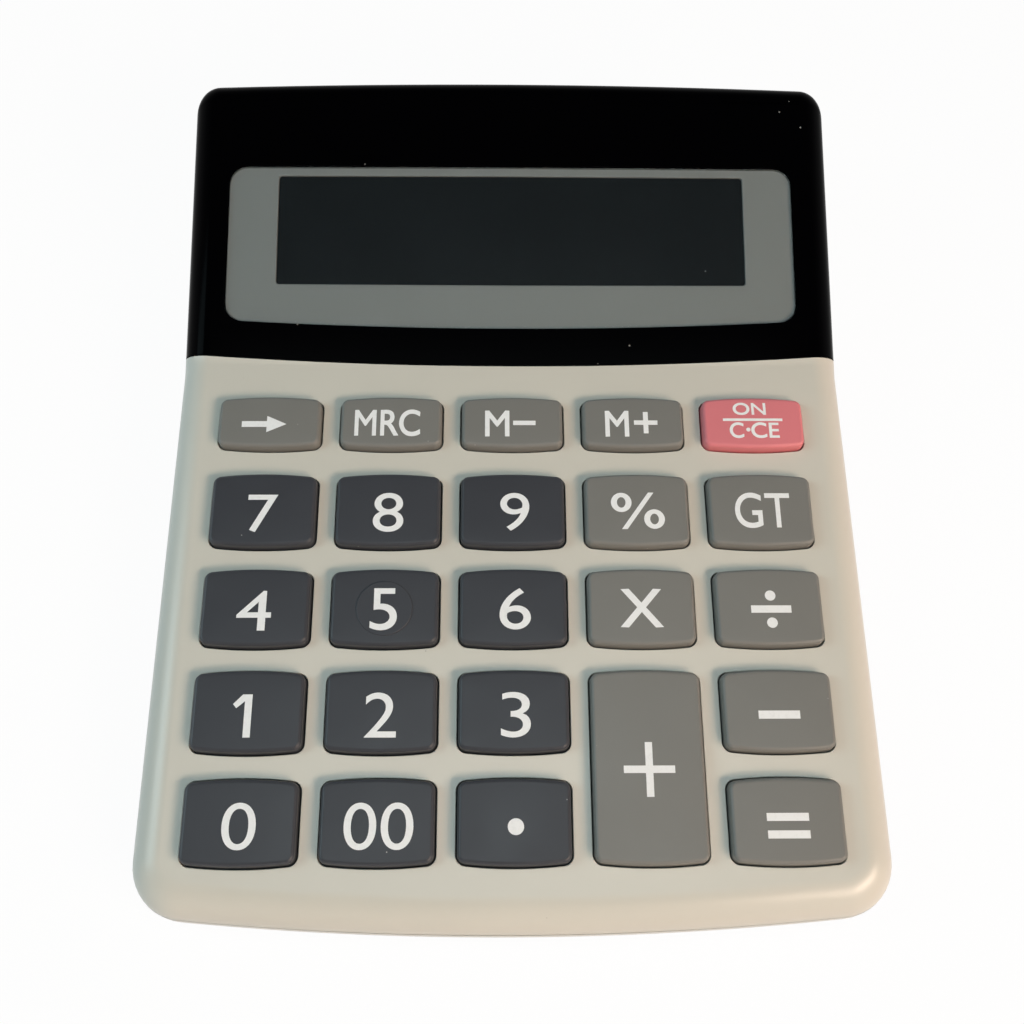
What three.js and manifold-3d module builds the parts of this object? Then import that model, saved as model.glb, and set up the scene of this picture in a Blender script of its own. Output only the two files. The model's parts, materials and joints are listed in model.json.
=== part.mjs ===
// Desktop calculator: a wedge-shaped two-piece case with a raised, tilted display head,
// twenty-four sprung keys over a rubber dome sheet, a circuit board, a liquid crystal
// display behind a clear window, and one AA cell behind a sliding door in the base.
// Millimetres. +X runs to the right, +Y from the user to the display, +Z up from the table.
// The origin is on the table, under the middle of the case.

import * as THREE from "three";
import { mergeVertices } from "three/addons/utils/BufferGeometryUtils.js";
import Module from "manifold-3d";

const wasm = await Module();
wasm.setup();

// Driving sizes of the case, seen from above; its width and length follow from what it holds
const frontEdgeRadius = 540;
const rearEdgeRadius = 1560;
const frontCornerRadius = 8.5;
const rearCornerRadius = 5;

// Driving sizes of the case, seen from the side
const deckSlope = THREE.MathUtils.degToRad(5);
const headSlope = THREE.MathUtils.degToRad(16.5);
const deckHeight = 11.5;
const frontMargin = 9.23;
const headMargin = 7.11;
const footHeight = 1;
const partingHeight = 5;

// Walls and edges of the case
const caseWall = 2;
const topEdgeRadius = 4.8;
const bottomEdgeRadius = 2;
const leastRadius = 0.4;
const lipHeight = 1.5;
const lipInset = 1.1;

// Clearances
const seat = 0.3;
const keyGap = 0.3;
const overrun = 12;
const weld = 0.4;

// Black display cover
const coverThickness = 2;
const coverSkirt = 6;
const coverGap = 0.25;
const coverFrontRadius = 810;
const headWall = 2.5;
const headShelf = 2;
const headLead = 3;

// Window in the cover, measured from the crease along the head
const windowSideMargin = 7.45;
const windowStart = 6.8;
const windowDepth = 31.4;
const windowRearMargin = 19;
const windowFrontRadius = 900;
const windowRearRadius = 9000;
const windowCorner = 3.5;
const paneThickness = 1.2;
const paneSink = 0.15;

// Grey bezel and the display glass under it
const bezelRim = 1.5;
const bezelPlate = 1;
const bezelSkirtWall = 1.2;
const viewSideMargin = 9.25;
const viewFrontMargin = 8.5;
const viewRearMargin = 1.7;
const viewCorner = 0.6;
const glassSideMargin = 3;
const glassFrontMargin = 2.3;
const glassRearMargin = 0.7;
const glassThickness = 2.2;
const clipReach = 0.6;
const clipWidth = 4;
const clipHeight = 0.75;
const clipInset = 9;

// Flat ribbon from the display glass to the circuit board
const ribbonInset = 15;
const ribbonThickness = 0.3;
const ribbonContact = 2.4;

// Keys
const rowEase = 0.43;
const topRowEase = 1.4;
const keyWidth = 17.6;
const keyDepth = 13.2;
const smallKeyDepth = 9.8;
const keyHeight = 2.5;
const keyBowRadius = 70;
const keyCorner = 2;
const keyTaper = 0.4;
const keyEdgeRadius = 0.8;
const keyWall = 1.2;
const keyRoof = 1.2;
const keyTravel = 1.5;
const flangeRim = 1;
const flangeThickness = 0.8;
const plungerRadius = 1.8;

// Guide ribs between the keys
const ribThickness = 0.8;

// Rubber dome sheet
const sheetThickness = 0.8;
const sheetMargin = 0.1;
const sheetRearMargin = 4.6;
const domeHeight = 3.6;
const domeBaseRadius = 3.3;
const domeTopRadius = 1.8;
const domeWall = 0.8;

// Circuit board and what is on it
const boardThickness = 1.2;
const boardSideGap = 0.65;
const boardFrontMargin = 0.8;
const boardRearGap = 2.9;
const boardChamfer = 8;
const screwInset = 4.65;
const boardBossRadius = 2.2;
const boardScrewRadius = 0.8;
const boardScrewHead = 2;
const boardScrewHeadHeight = 1.2;
const chipRadius = 6.5;
const chipHeight = 2;
const chipAcross = -12;
const chipInset = 20.5;
const capacitorRadius = 2.5;
const capacitorLength = 8;
const capacitorAcross = 14;
const capacitorInset = 10.5;

// Screws that hold the two halves of the case together
const caseScrewRadius = 1.1;
const caseScrewHead = 2.4;
const caseScrewHeadHeight = 1.3;
const caseScrewSink = 0.6;
const caseScrewGrip = 1.3;
const caseScrewBite = 4.6;
const caseBossRadius = 2.4;
const caseBossCollar = 1;
const frontBossInset = 13.05;
const rearBossSideInset = 9.25;
const rearBossInset = 8;

// Rubber feet
const footRadius = 4.2;
const footRecess = 1;
const footInset = 11;
const frontFootInset = 22;
const rearFootInset = 22;

// Ribs on the floor that back the circuit board
const floorRibAcross = 30;
const floorRibFront = 22;
const floorRibLength = 64;
const floorRibThickness = 1.2;

// Cell, battery bay and door
const cellRadius = 7.25;
const cellLength = 50.5;
const cellButtonRadius = 2.75;
const cellButtonLength = 1.2;
const cellEdge = 0.6;
const bayGap = 0.4;
const bayWall = 1.5;
const bayRearGap = 0.9;
const bayWallHeight = 11;
const springRoom = 6.4;
const doorThickness = 2;
const doorTongue = 0.9;
const doorTongueThickness = 0.8;
const doorTongueDrop = 0.8;
const doorGripCount = 5;
const doorGripWidth = 0.8;
const doorGripDepth = 0.5;
const doorGripPitch = 1.8;
const doorGripLength = 14;
const doorGripInset = 3;
const contactThickness = 0.5;
const contactWidth = 9;
const contactFold = 3;
const contactDrop = 9;
const springWire = 0.7;
const springTurns = 4;
const springWallRadius = 4.5;
const springCellRadius = 2.4;
const springLeg = 4;

// Leads from the battery contacts to the circuit board
const leadRadius = 0.6;
const leadSolderAcross = 31.5;
const leadSolderInset = 5.5;
const leadSwing = 1.8;
const leadLowering = 3.6;
const leadLanding = 10.9;
const leadTurning = 25.4;
const leadSpread = 2.4;

// Smoothness of the case's outside and of its hidden inside
const outsideSteps = { corner: 4, front: 6, rear: 4, top: 3, bottom: 2 };
const insideSteps = { corner: 2, front: 4, rear: 2, top: 2, bottom: 1 };

// Smoothness of the rest
const cornerSteps = 4;
const bowSteps = 6;
const keyCornerSteps = 2;
const keyEdgeSteps = 2;
const keyTopSteps = 1;
const domeSides = 6;
const bossSides = 8;
const pilotSides = 6;
const roundSides = 16;
const smallRoundSides = 12;
const screwSides = 8;
const springSteps = 8;
const springSides = 5;
const leadSteps = 16;
const leadSides = 6;
const ribbonSteps = 14;
const chipSteps = 4;

// Layout of the keys: rows run from the user to the display
const keySpacing = ribThickness + 2 * (flangeRim + seat);
const columnPitch = keyWidth + keySpacing;
const rowPitch = keyDepth + keySpacing + rowEase;
const topRowPitch = (keyDepth + smallKeyDepth) / 2 + keySpacing + topRowEase;
const rowPlaces = [0, rowPitch, 2 * rowPitch, 3 * rowPitch, 3 * rowPitch + topRowPitch];
const columnPlaces = [-2 * columnPitch, -columnPitch, 0, columnPitch, 2 * columnPitch];
const tallKeyDepth = keyDepth + rowPitch;

// Size of the case round the keys and the display
const sideMargin = flangeRim + sheetMargin + seat + caseBossRadius + screwInset;
const caseWidth = 2 * (columnPlaces[4] + keyWidth / 2 + sideMargin);
const frontToFirstRow = keyDepth / 2 + frontMargin;
const firstRowToHead = rowPlaces[4] + smallKeyDepth / 2 + headMargin;
const headLength = windowStart + windowDepth + windowRearMargin;
const deckRun = firstRowToHead * Math.cos(deckSlope);
const caseLength = frontToFirstRow + deckRun + headLength * Math.cos(headSlope);

// Places that follow from the driving sizes
const halfWidth = caseWidth / 2;
const frontY = -caseLength / 2;
const rearY = caseLength / 2;
const firstRowY = frontY + frontToFirstRow;
const creaseY = firstRowY + deckRun;
const creaseZ = deckHeight + firstRowToHead * Math.sin(deckSlope);
const floorTop = footHeight + caseWall;
const windowWidth = caseWidth - 2 * windowSideMargin;
const viewWidth = windowWidth - 2 * viewSideMargin;
const viewStart = windowStart + viewFrontMargin;
const viewDepth = windowDepth - viewFrontMargin - viewRearMargin;
const glassWidth = viewWidth + 2 * glassSideMargin;
const glassStart = viewStart - glassFrontMargin;
const glassDepth = glassFrontMargin + viewDepth + glassRearMargin;
const ribbonWidth = glassWidth - 2 * ribbonInset;
const boardFront = keyDepth / 2 + flangeRim + boardFrontMargin;
const boardRear = firstRowToHead - boardRearGap;

// Levels below the deck's top face, along its normal
const flangeTop = -(caseWall + seat);
const flangeBottom = flangeTop - flangeThickness;
const sheetTop = flangeBottom - keyTravel - seat;
const sheetBottom = sheetTop - sheetThickness;
const boardTop = sheetBottom - seat;
const boardBottom = boardTop - boardThickness;
const domeTop = sheetTop + domeHeight;
const plungerBottom = domeTop + seat;

// Levels below the cover's top face, along its normal
const paneTop = -paneSink;
const paneBottom = paneTop - paneThickness;
const bezelTop = paneBottom - seat;
const bezelFlangeTop = -(coverThickness + seat);
const bezelFlangeBottom = bezelFlangeTop - bezelPlate;
const headWallTop = -(coverThickness + coverGap);
const headWallBottom = headWallTop - headWall;
const glassTop = bezelTop - bezelPlate - seat;
const glassBottom = glassTop - glassThickness;
const clipTop = glassBottom - seat;
const clipBottom = clipTop - clipHeight;

// The case seen from above; the sides carry a point at the crease between deck and head
function casePlan(smooth) {
  return {
    half: halfWidth,
    front: frontY,
    rear: rearY,
    frontRadius: frontEdgeRadius,
    rearRadius: rearEdgeRadius,
    frontCorner: frontCornerRadius,
    rearCorner: rearCornerRadius,
    frontSteps: smooth.front,
    rearSteps: smooth.rear,
    steps: smooth.corner,
  };
}

const deckMatrix = new THREE.Matrix4()
  .makeTranslation(0, firstRowY, deckHeight)
  .multiply(new THREE.Matrix4().makeRotationX(deckSlope));
const headMatrix = new THREE.Matrix4()
  .makeTranslation(0, creaseY, creaseZ)
  .multiply(new THREE.Matrix4().makeRotationX(headSlope));

// Closed outline with bowed front and rear edges and straight sides, run anticlockwise.
// An inset draws every edge and corner in by the same distance.
function bowedOutline(plan, inset = 0, stops = []) {
  const end = (tip, radius, corner, way) => {
    const centre = tip - way * radius;
    const across = plan.half - corner;
    const along = centre + way * Math.sqrt((radius - corner) ** 2 - across ** 2);
    const angle = Math.atan2(along - centre, across);
    return { centre, across, along, angle, way, radius: radius - inset, corner: corner - inset };
  };
  const front = end(plan.front, plan.frontRadius, plan.frontCorner, -1);
  const rear = end(plan.rear, plan.rearRadius, plan.rearCorner, 1);
  const points = [];
  const edge = (e, steps) => {
    const reach = e.radius * Math.cos(e.angle);
    for (let i = 1; i < steps; i++) {
      const x = e.way * (reach - (2 * reach * i) / steps);
      points.push(new THREE.Vector2(x, e.centre + e.way * Math.sqrt(e.radius ** 2 - x ** 2)));
    }
  };
  const corner = (e, side, from, to) => {
    for (let i = 0; i <= plan.steps; i++) {
      const angle = from + ((to - from) * i) / plan.steps;
      const x = side * (e.across + e.corner * Math.cos(angle));
      points.push(new THREE.Vector2(x, e.along + e.corner * Math.sin(angle)));
    }
  };
  edge(front, plan.frontSteps);
  corner(front, 1, front.angle, 0);
  for (const y of stops) points.push(new THREE.Vector2(plan.half - inset, y));
  corner(rear, 1, 0, rear.angle);
  edge(rear, plan.rearSteps);
  corner(rear, -1, rear.angle, 0);
  for (const y of [...stops].reverse()) points.push(new THREE.Vector2(inset - plan.half, y));
  corner(front, -1, 0, front.angle);
  return points;
}

// Skin over a stack of rings with the same number of points, closed at both ends.
// Where the last ring isn't flat, its flat parts are given as lists of point numbers.
function loft(rings, topParts) {
  const count = rings[0].length;
  const faces = [];
  rings.slice(1).forEach((ring, level) => {
    for (let i = 0; i < count; i++) {
      const a = level * count + i;
      const b = level * count + ((i + 1) % count);
      faces.push(a, b, b + count, a, b + count, a + count);
    }
  });
  const points = rings.flat();
  const close = (members, base, up) => {
    const middle = new THREE.Vector3();
    for (const i of members) middle.addScaledVector(points[base + i], 1 / members.length);
    points.push(middle);
    members.forEach((i, k) => {
      const next = members[(k + 1) % members.length];
      faces.push(points.length - 1, base + (up ? i : next), base + (up ? next : i));
    });
  };
  const all = rings[0].map((_, i) => i);
  close(all, 0, false);
  for (const part of topParts ?? [all]) close(part, (rings.length - 1) * count, true);
  const geometry = new THREE.BufferGeometry().setFromPoints(points);
  geometry.setIndex(faces);
  return geometry.toNonIndexed();
}

function ringAt(outline, height) {
  return outline.map((p) => new THREE.Vector3(p.x, p.y, height));
}

function prism(outline, low, high) {
  return loft([ringAt(outline, low), ringAt(outline, high)]);
}

function block(x0, x1, y0, y1, z0, z1) {
  const box = new THREE.BoxGeometry(x1 - x0, y1 - y0, z1 - z0);
  return box.translate((x0 + x1) / 2, (y0 + y1) / 2, (z0 + z1) / 2);
}

// Upright round bar about the point x, y
function bar(radius, low, high, x, y, sides = smallRoundSides) {
  const cylinder = new THREE.CylinderGeometry(radius, radius, high - low, sides);
  return cylinder.rotateX(Math.PI / 2).translate(x, y, (low + high) / 2);
}

// Body of revolution about Z from radius and height pairs that run upwards on the outside
function turned(profile, sides) {
  const points = profile.map(([radius, height]) => new THREE.Vector2(radius, height));
  return new THREE.LatheGeometry(points, sides).rotateX(Math.PI / 2);
}

function solid(geometry) {
  const bare = geometry.index ? geometry.toNonIndexed() : geometry.clone();
  bare.deleteAttribute("normal");
  bare.deleteAttribute("uv");
  const merged = mergeVertices(bare);
  return new wasm.Manifold(
    new wasm.Mesh({
      numProp: 3,
      vertProperties: new Float32Array(merged.attributes.position.array),
      triVerts: new Uint32Array(merged.index.array),
    }),
  );
}

function join(...geometries) {
  return geometries.map(solid).reduce((whole, piece) => whole.add(piece));
}

function cut(base, ...geometries) {
  return base.subtract(join(...geometries));
}

function geometryOf(shape) {
  const mesh = shape.getMesh();
  const points = [];
  for (let i = 0; i < mesh.vertProperties.length; i += mesh.numProp) {
    points.push(new THREE.Vector3().fromArray(mesh.vertProperties, i));
  }
  const geometry = new THREE.BufferGeometry().setFromPoints(points);
  geometry.setIndex([...mesh.triVerts]);
  const flat = geometry.toNonIndexed();
  flat.computeVertexNormals();
  return flat;
}

// Height of the case's upper face at a place along Y, drawn in by a distance
function upperFace(y, inset) {
  const deck = creaseZ + (y - creaseY) * Math.tan(deckSlope) - inset / Math.cos(deckSlope);
  const head = creaseZ + (y - creaseY) * Math.tan(headSlope) - inset / Math.cos(headSlope);
  return Math.max(deck, head);
}

function creaseOf(inset) {
  const shift = 1 / Math.cos(headSlope) - 1 / Math.cos(deckSlope);
  return creaseY + (inset * shift) / (Math.tan(headSlope) - Math.tan(deckSlope));
}

// The whole closed form of the case, drawn in by an inset: rounded below, upright sides,
// rounded above, with a flat deck and a steeper flat head that meet at the crease
function caseForm(inset = 0) {
  const smooth = inset ? insideSteps : outsideSteps;
  const plan = casePlan(smooth);
  const bottomRadius = Math.max(bottomEdgeRadius - inset, leastRadius);
  const topRadius = Math.max(topEdgeRadius - inset, leastRadius);
  const crease = creaseOf(inset);
  const rings = [];
  for (let i = 0; i <= smooth.bottom; i++) {
    const angle = (Math.PI / 2) * (i / smooth.bottom);
    const outline = bowedOutline(plan, inset + bottomRadius * (1 - Math.sin(angle)), [crease]);
    rings.push(ringAt(outline, footHeight + inset + bottomRadius * (1 - Math.cos(angle))));
  }
  for (let i = 0; i <= smooth.top; i++) {
    const angle = (Math.PI / 2) * (i / smooth.top);
    const outline = bowedOutline(plan, inset + topRadius * (1 - Math.cos(angle)), [crease]);
    const drop = topRadius * (1 - Math.sin(angle));
    rings.push(outline.map((p) => new THREE.Vector3(p.x, p.y, upperFace(p.y, inset) - drop)));
  }
  const count = rings[0].length;
  const right = smooth.front + smooth.corner;
  const left = right + 2 * (smooth.corner + 1) + smooth.rear;
  const all = [...rings[0].keys()];
  const head = all.slice(right, left + 1);
  const deck = [...all.slice(left, count), ...all.slice(0, right + 1)];
  return loft(rings, [deck, head]);
}

// Space over the head that the cover takes, with its bowed front edge and its skirt
function coverSpace(gap) {
  const plan = {
    half: halfWidth + overrun,
    front: -gap,
    rear: caseLength,
    frontRadius: coverFrontRadius + gap,
    rearRadius: rearEdgeRadius,
    frontCorner: leastRadius,
    rearCorner: leastRadius,
    frontSteps: bowSteps,
    rearSteps: 1,
    steps: 1,
  };
  return prism(bowedOutline(plan), -(coverSkirt + gap), topEdgeRadius + overrun)
    .applyMatrix4(headMatrix);
}

function windowPlan(inset) {
  const plan = {
    half: windowWidth / 2,
    front: windowStart,
    rear: windowStart + windowDepth,
    frontRadius: windowFrontRadius,
    rearRadius: windowRearRadius,
    frontCorner: windowCorner,
    rearCorner: windowCorner,
    frontSteps: bowSteps,
    rearSteps: 1,
    steps: cornerSteps,
  };
  return bowedOutline(plan, inset);
}

const keyRows = [
  ["key_0", "key_00", "key_point", null, "key_equals"],
  ["key_1", "key_2", "key_3", "key_plus", "key_minus"],
  ["key_4", "key_5", "key_6", "key_multiply", "key_divide"],
  ["key_7", "key_8", "key_9", "key_percent", "key_grand_total"],
  ["key_backspace", "key_memory_recall", "key_memory_minus", "key_memory_plus", "key_on_clear"],
];

const keys = keyRows.flatMap((names, row) =>
  names.map((name, column) => {
    const tall = name === "key_plus";
    const small = row === keyRows.length - 1;
    return {
      name,
      x: columnPlaces[column],
      y: tall ? (rowPlaces[0] + rowPlaces[1]) / 2 : rowPlaces[row],
      depth: tall ? tallKeyDepth : small ? smallKeyDepth : keyDepth,
      dark: /^key_(\d+|point)$/.test(name ?? ""),
      red: name === "key_on_clear",
    };
  }),
).filter((key) => key.name);

function keyPlan(depth, steps = keyCornerSteps, edgeSteps = keyEdgeSteps) {
  return {
    half: keyWidth / 2,
    front: -depth / 2,
    rear: depth / 2,
    frontRadius: keyBowRadius,
    rearRadius: keyBowRadius,
    frontCorner: keyCorner,
    rearCorner: keyCorner,
    frontSteps: edgeSteps,
    rearSteps: edgeSteps,
    steps,
  };
}

// Hollow key cap with a flange that the deck holds down and a plunger over its dome
function keyCap(depth) {
  const ring = (inset, height) => ringAt(bowedOutline(keyPlan(depth), inset), height);
  const rings = [
    ring(-flangeRim, flangeBottom),
    ring(-flangeRim, flangeTop),
    ring(0, flangeTop),
  ];
  for (let i = 0; i <= keyTopSteps; i++) {
    const angle = (Math.PI / 2) * (i / keyTopSteps);
    const inset = keyTaper + keyEdgeRadius * (1 - Math.cos(angle));
    rings.push(ring(inset, keyHeight - keyEdgeRadius * (1 - Math.sin(angle))));
  }
  const roof = keyHeight - keyRoof;
  const hollow = prism(bowedOutline(keyPlan(depth, 1, 1), keyWall), flangeBottom - overrun, roof);
  const plunger = bar(plungerRadius, plungerBottom, roof + weld, 0, 0, domeSides);
  return cut(join(loft(rings)), hollow).add(solid(plunger));
}

// Cutter for a key's hole in the deck
function keyHole(key) {
  const outline = bowedOutline(keyPlan(key.depth), -keyGap);
  return prism(outline, -caseWall - weld, weld)
    .translate(key.x, key.y, 0)
    .applyMatrix4(deckMatrix);
}

// Guide ribs under the deck, which keep the key flanges apart and hold the sheet down
function guideRibs() {
  const low = sheetTop + seat;
  const high = -caseWall + weld;
  const half = ribThickness / 2;
  const sideReach = columnPlaces[4] + keyWidth / 2 + flangeRim;
  const frontReach = -(keyDepth / 2 + flangeRim);
  const rearReach = rowPlaces[4] + smallKeyDepth / 2 + flangeRim;
  const ribs = [];
  for (let i = 0; i + 1 < columnPlaces.length; i++) {
    const x = (columnPlaces[i] + columnPlaces[i + 1]) / 2;
    ribs.push(block(x - half, x + half, frontReach, rearReach, low, high));
  }
  for (let i = 0; i + 1 < rowPlaces.length; i++) {
    const nextDepth = i + 2 === rowPlaces.length ? smallKeyDepth : keyDepth;
    const y = (rowPlaces[i] + keyDepth / 2 + rowPlaces[i + 1] - nextDepth / 2) / 2;
    ribs.push(block(-sideReach, sideReach, y - half, y + half, low, high));
  }
  const tall = keys.find((key) => key.name === "key_plus");
  const room = block(
    tall.x - keyWidth / 2 - flangeRim - seat,
    tall.x + keyWidth / 2 + flangeRim + seat,
    tall.y - tall.depth / 2 - flangeRim + weld,
    tall.y + tall.depth / 2 + flangeRim - weld,
    low - overrun,
    -caseWall,
  );
  return geometryOf(cut(join(...ribs), room));
}

const screwX = halfWidth - screwInset;
const boardScrewPlaces = [0, 2, 3].flatMap((row) => {
  const y = (rowPlaces[row] + rowPlaces[row + 1]) / 2;
  return [
    [-screwX, y],
    [screwX, y],
  ];
});

const frontBossY = frontY + frontBossInset;
const rearBossY = rearY - rearBossInset;
const rearBossX = halfWidth - rearBossSideInset;
const caseScrewPlaces = [
  [-screwX, frontBossY],
  [screwX, frontBossY],
  [-rearBossX, rearBossY],
  [rearBossX, rearBossY],
];
const caseScrewHeadTop = footHeight + caseScrewSink + caseScrewHeadHeight;
const lowerBossTop = caseScrewHeadTop + seat + caseScrewGrip;
const caseScrewTip = caseScrewHeadTop + caseScrewBite;

// Ring inside the case's wall where the two halves overlap
function lipSpace(outer, inner, low, high) {
  const plan = casePlan(insideSteps);
  const ring = join(prism(bowedOutline(plan, outer), low, high));
  return geometryOf(cut(ring, prism(bowedOutline(plan, inner), low - overrun, high + overrun)));
}

function upperCase() {
  const aboveParting = block(
    -halfWidth - overrun, halfWidth + overrun,
    frontY - overrun, rearY + overrun,
    partingHeight + seat / 2, creaseZ + caseLength,
  );
  const headRoom = block(
    -halfWidth - overrun, halfWidth + overrun,
    -headLead, caseLength,
    -(coverSkirt + coverGap + headShelf), overrun,
  ).applyMatrix4(headMatrix);
  const headInset = coverThickness + coverGap + headWall;
  const roomBelow = cut(solid(caseForm(caseWall)), headRoom);
  const room = roomBelow.add(solid(caseForm(headInset)));

  const pocket = cut(solid(coverSpace(coverGap)), caseForm(coverThickness + coverGap));
  let shell = solid(caseForm()).intersect(solid(aboveParting)).subtract(room.add(pocket));

  const insideForm = solid(caseForm(caseWall / 2));
  const insideHead = solid(caseForm(headInset - headWall / 2));
  for (const [x, y] of caseScrewPlaces) {
    const boss = bar(caseBossRadius, lowerBossTop + seat, creaseZ + overrun, x, y);
    shell = shell.add(solid(boss).intersect(y < creaseY ? insideForm : insideHead));
  }
  const boardBosses = boardScrewPlaces.map(([x, y]) =>
    bar(boardBossRadius, boardTop + seat, weld - caseWall, x, y, bossSides),
  );
  const underDeck = geometryOf(join(guideRibs(), ...boardBosses));
  shell = shell.add(solid(underDeck.applyMatrix4(deckMatrix)));

  const boardPilots = boardScrewPlaces.map(([x, y]) =>
    bar(boardScrewRadius + seat, boardTop - overrun, -caseWall - seat, x, y, pilotSides),
  );
  const casePilots = caseScrewPlaces.map(([x, y]) =>
    bar(caseScrewRadius + seat, 0, caseScrewTip + seat, x, y, pilotSides),
  );
  const flangeSink = prism(windowPlan(-bezelRim - seat), bezelFlangeBottom - seat, overrun);
  const well = block(
    -glassWidth / 2 - bezelSkirtWall - 2 * seat,
    glassWidth / 2 + bezelSkirtWall + 2 * seat,
    glassStart - bezelSkirtWall - 2 * seat,
    glassStart + glassDepth + bezelSkirtWall + 2 * seat,
    headWallBottom - overrun / 2,
    overrun,
  );
  return cut(
    shell,
    lipSpace(lipInset - seat, caseWall + seat, 0, partingHeight + lipHeight + seat),
    ...keys.map(keyHole),
    ...boardPilots.map((pilot) => pilot.applyMatrix4(deckMatrix)),
    ...casePilots,
    flangeSink.applyMatrix4(headMatrix),
    well.applyMatrix4(headMatrix),
  );
}

function displayCover() {
  const form = solid(caseForm()).intersect(solid(coverSpace(0)));
  const opening = prism(windowPlan(0), -overrun, overrun).applyMatrix4(headMatrix);
  return cut(form, caseForm(coverThickness), opening);
}

function displayWindow() {
  return join(prism(windowPlan(coverGap), paneBottom, paneTop));
}

function lcdBezel() {
  const skirtReach = bezelSkirtWall + seat;
  const body = join(
    prism(windowPlan(coverGap), bezelFlangeBottom, bezelTop),
    prism(windowPlan(-bezelRim), bezelFlangeBottom, bezelFlangeTop),
    block(
      -glassWidth / 2 - skirtReach, glassWidth / 2 + skirtReach,
      glassStart - skirtReach, glassStart + glassDepth + skirtReach,
      clipBottom, bezelFlangeBottom + weld,
    ),
  );
  const pocket = block(
    -glassWidth / 2 - seat, glassWidth / 2 + seat,
    glassStart - seat, glassStart + glassDepth + seat,
    clipBottom - overrun, glassTop + seat,
  );
  const ribbonWay = block(
    -ribbonWidth / 2 - 2 * seat, ribbonWidth / 2 + 2 * seat,
    glassStart - overrun, glassStart,
    clipBottom - overrun, glassBottom,
  );
  const viewPlan = {
    half: viewWidth / 2,
    front: viewStart,
    rear: viewStart + viewDepth,
    frontRadius: windowRearRadius,
    rearRadius: windowRearRadius,
    frontCorner: viewCorner,
    rearCorner: viewCorner,
    frontSteps: 1,
    rearSteps: 1,
    steps: keyCornerSteps,
  };
  const view = prism(bowedOutline(viewPlan), clipBottom, overrun);
  let bezel = cut(body, pocket, ribbonWay, view);
  for (const side of [-1, 1]) {
    const x = side * (glassWidth / 2 - clipInset);
    for (const end of [glassStart - seat, glassStart + glassDepth + seat - clipReach]) {
      const low = end - (end < glassStart ? weld : 0);
      const high = end + clipReach + (end < glassStart ? 0 : weld);
      bezel = bezel.add(
        solid(block(x - clipWidth / 2, x + clipWidth / 2, low, high, clipBottom, clipTop)),
      );
    }
  }
  return bezel;
}

function lcdPanel() {
  return join(
    block(-glassWidth / 2, glassWidth / 2, glassStart, glassStart + glassDepth, glassBottom, glassTop),
  );
}

// Ribbon: a strip of even thickness along a curve from under the glass to the board's rear edge
function lcdRibbon() {
  const place = (matrix, y, z) => {
    const p = new THREE.Vector3(0, y, z).applyMatrix4(matrix);
    return new THREE.Vector2(p.y, p.z);
  };
  const underGlass = glassBottom - seat - ribbonThickness / 2;
  const overBoard = boardTop + seat + ribbonThickness / 2;
  const glassEnd = place(headMatrix, glassStart + ribbonContact, underGlass);
  const glassLeave = place(headMatrix, glassStart, underGlass);
  const boardLeave = place(deckMatrix, boardRear, overBoard);
  const boardEnd = place(deckMatrix, boardRear - ribbonContact, overBoard);
  const glassPull = place(headMatrix, glassStart / 2, underGlass);
  const boardPull = place(deckMatrix, (boardRear + firstRowToHead) / 2, overBoard);
  const bend = new THREE.CubicBezierCurve(glassLeave, glassPull, boardPull, boardLeave);
  const middle = [glassEnd, ...bend.getPoints(ribbonSteps), boardEnd];
  const side = (way) =>
    middle.map((p, i) => {
      const before = middle[Math.max(i - 1, 0)];
      const after = middle[Math.min(i + 1, middle.length - 1)];
      const run = after.clone().sub(before).normalize();
      const half = (way * ribbonThickness) / 2;
      return new THREE.Vector2(p.x - run.y * half, p.y + run.x * half);
    });
  const shape = new THREE.Shape([...side(1), ...side(-1).reverse()]);
  const strip = new THREE.ExtrudeGeometry(shape, { depth: ribbonWidth, bevelEnabled: false });
  const turn = new THREE.Matrix4().makeBasis(
    new THREE.Vector3(0, 1, 0),
    new THREE.Vector3(0, 0, 1),
    new THREE.Vector3(1, 0, 0),
  );
  return join(strip.applyMatrix4(turn).translate(-ribbonWidth / 2, 0, 0));
}

function domeSheet() {
  const side = columnPlaces[4] + keyWidth / 2 + flangeRim + sheetMargin;
  const front = -(keyDepth / 2 + flangeRim);
  const rear = rowPlaces[4] + sheetRearMargin;
  const sheet = join(block(-side, side, front, rear, sheetBottom, sheetTop));
  const outer = [
    [0, sheetTop - weld],
    [domeBaseRadius, sheetTop - weld],
    [domeBaseRadius, sheetTop],
    [domeTopRadius, domeTop],
    [0, domeTop],
  ];
  const inner = [
    [0, sheetBottom - weld],
    [domeBaseRadius - domeWall, sheetBottom - weld],
    [domeTopRadius - domeWall, domeTop - domeWall],
    [0, domeTop - domeWall],
  ];
  const over = (profile) => (key) => turned(profile, domeSides).translate(key.x, key.y, 0);
  return cut(sheet.add(join(...keys.map(over(outer)))), ...keys.map(over(inner)));
}

function circuitBoard() {
  const side = halfWidth - caseWall - boardSideGap;
  const outline = [
    [boardChamfer - side, -boardFront],
    [side - boardChamfer, -boardFront],
    [side, boardChamfer - boardFront],
    [side, boardRear],
    [-side, boardRear],
    [-side, boardChamfer - boardFront],
  ].map(([x, y]) => new THREE.Vector2(x, y));
  const board = join(prism(outline, boardBottom, boardTop));
  const holes = boardScrewPlaces.map(([x, y]) =>
    bar(boardScrewRadius + seat, boardBottom - weld, boardTop + weld, x, y),
  );
  const intoDeck = deckMatrix.clone().invert();
  const notches = caseScrewPlaces
    .filter(([, y]) => y < 0)
    .map(([x, y]) => {
      const high = deckHeight + overrun;
      return bar(caseBossRadius + caseBossCollar + seat, 0, high, x, y, roundSides).applyMatrix4(intoDeck);
    });
  return cut(board, ...holes, ...notches);
}

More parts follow.
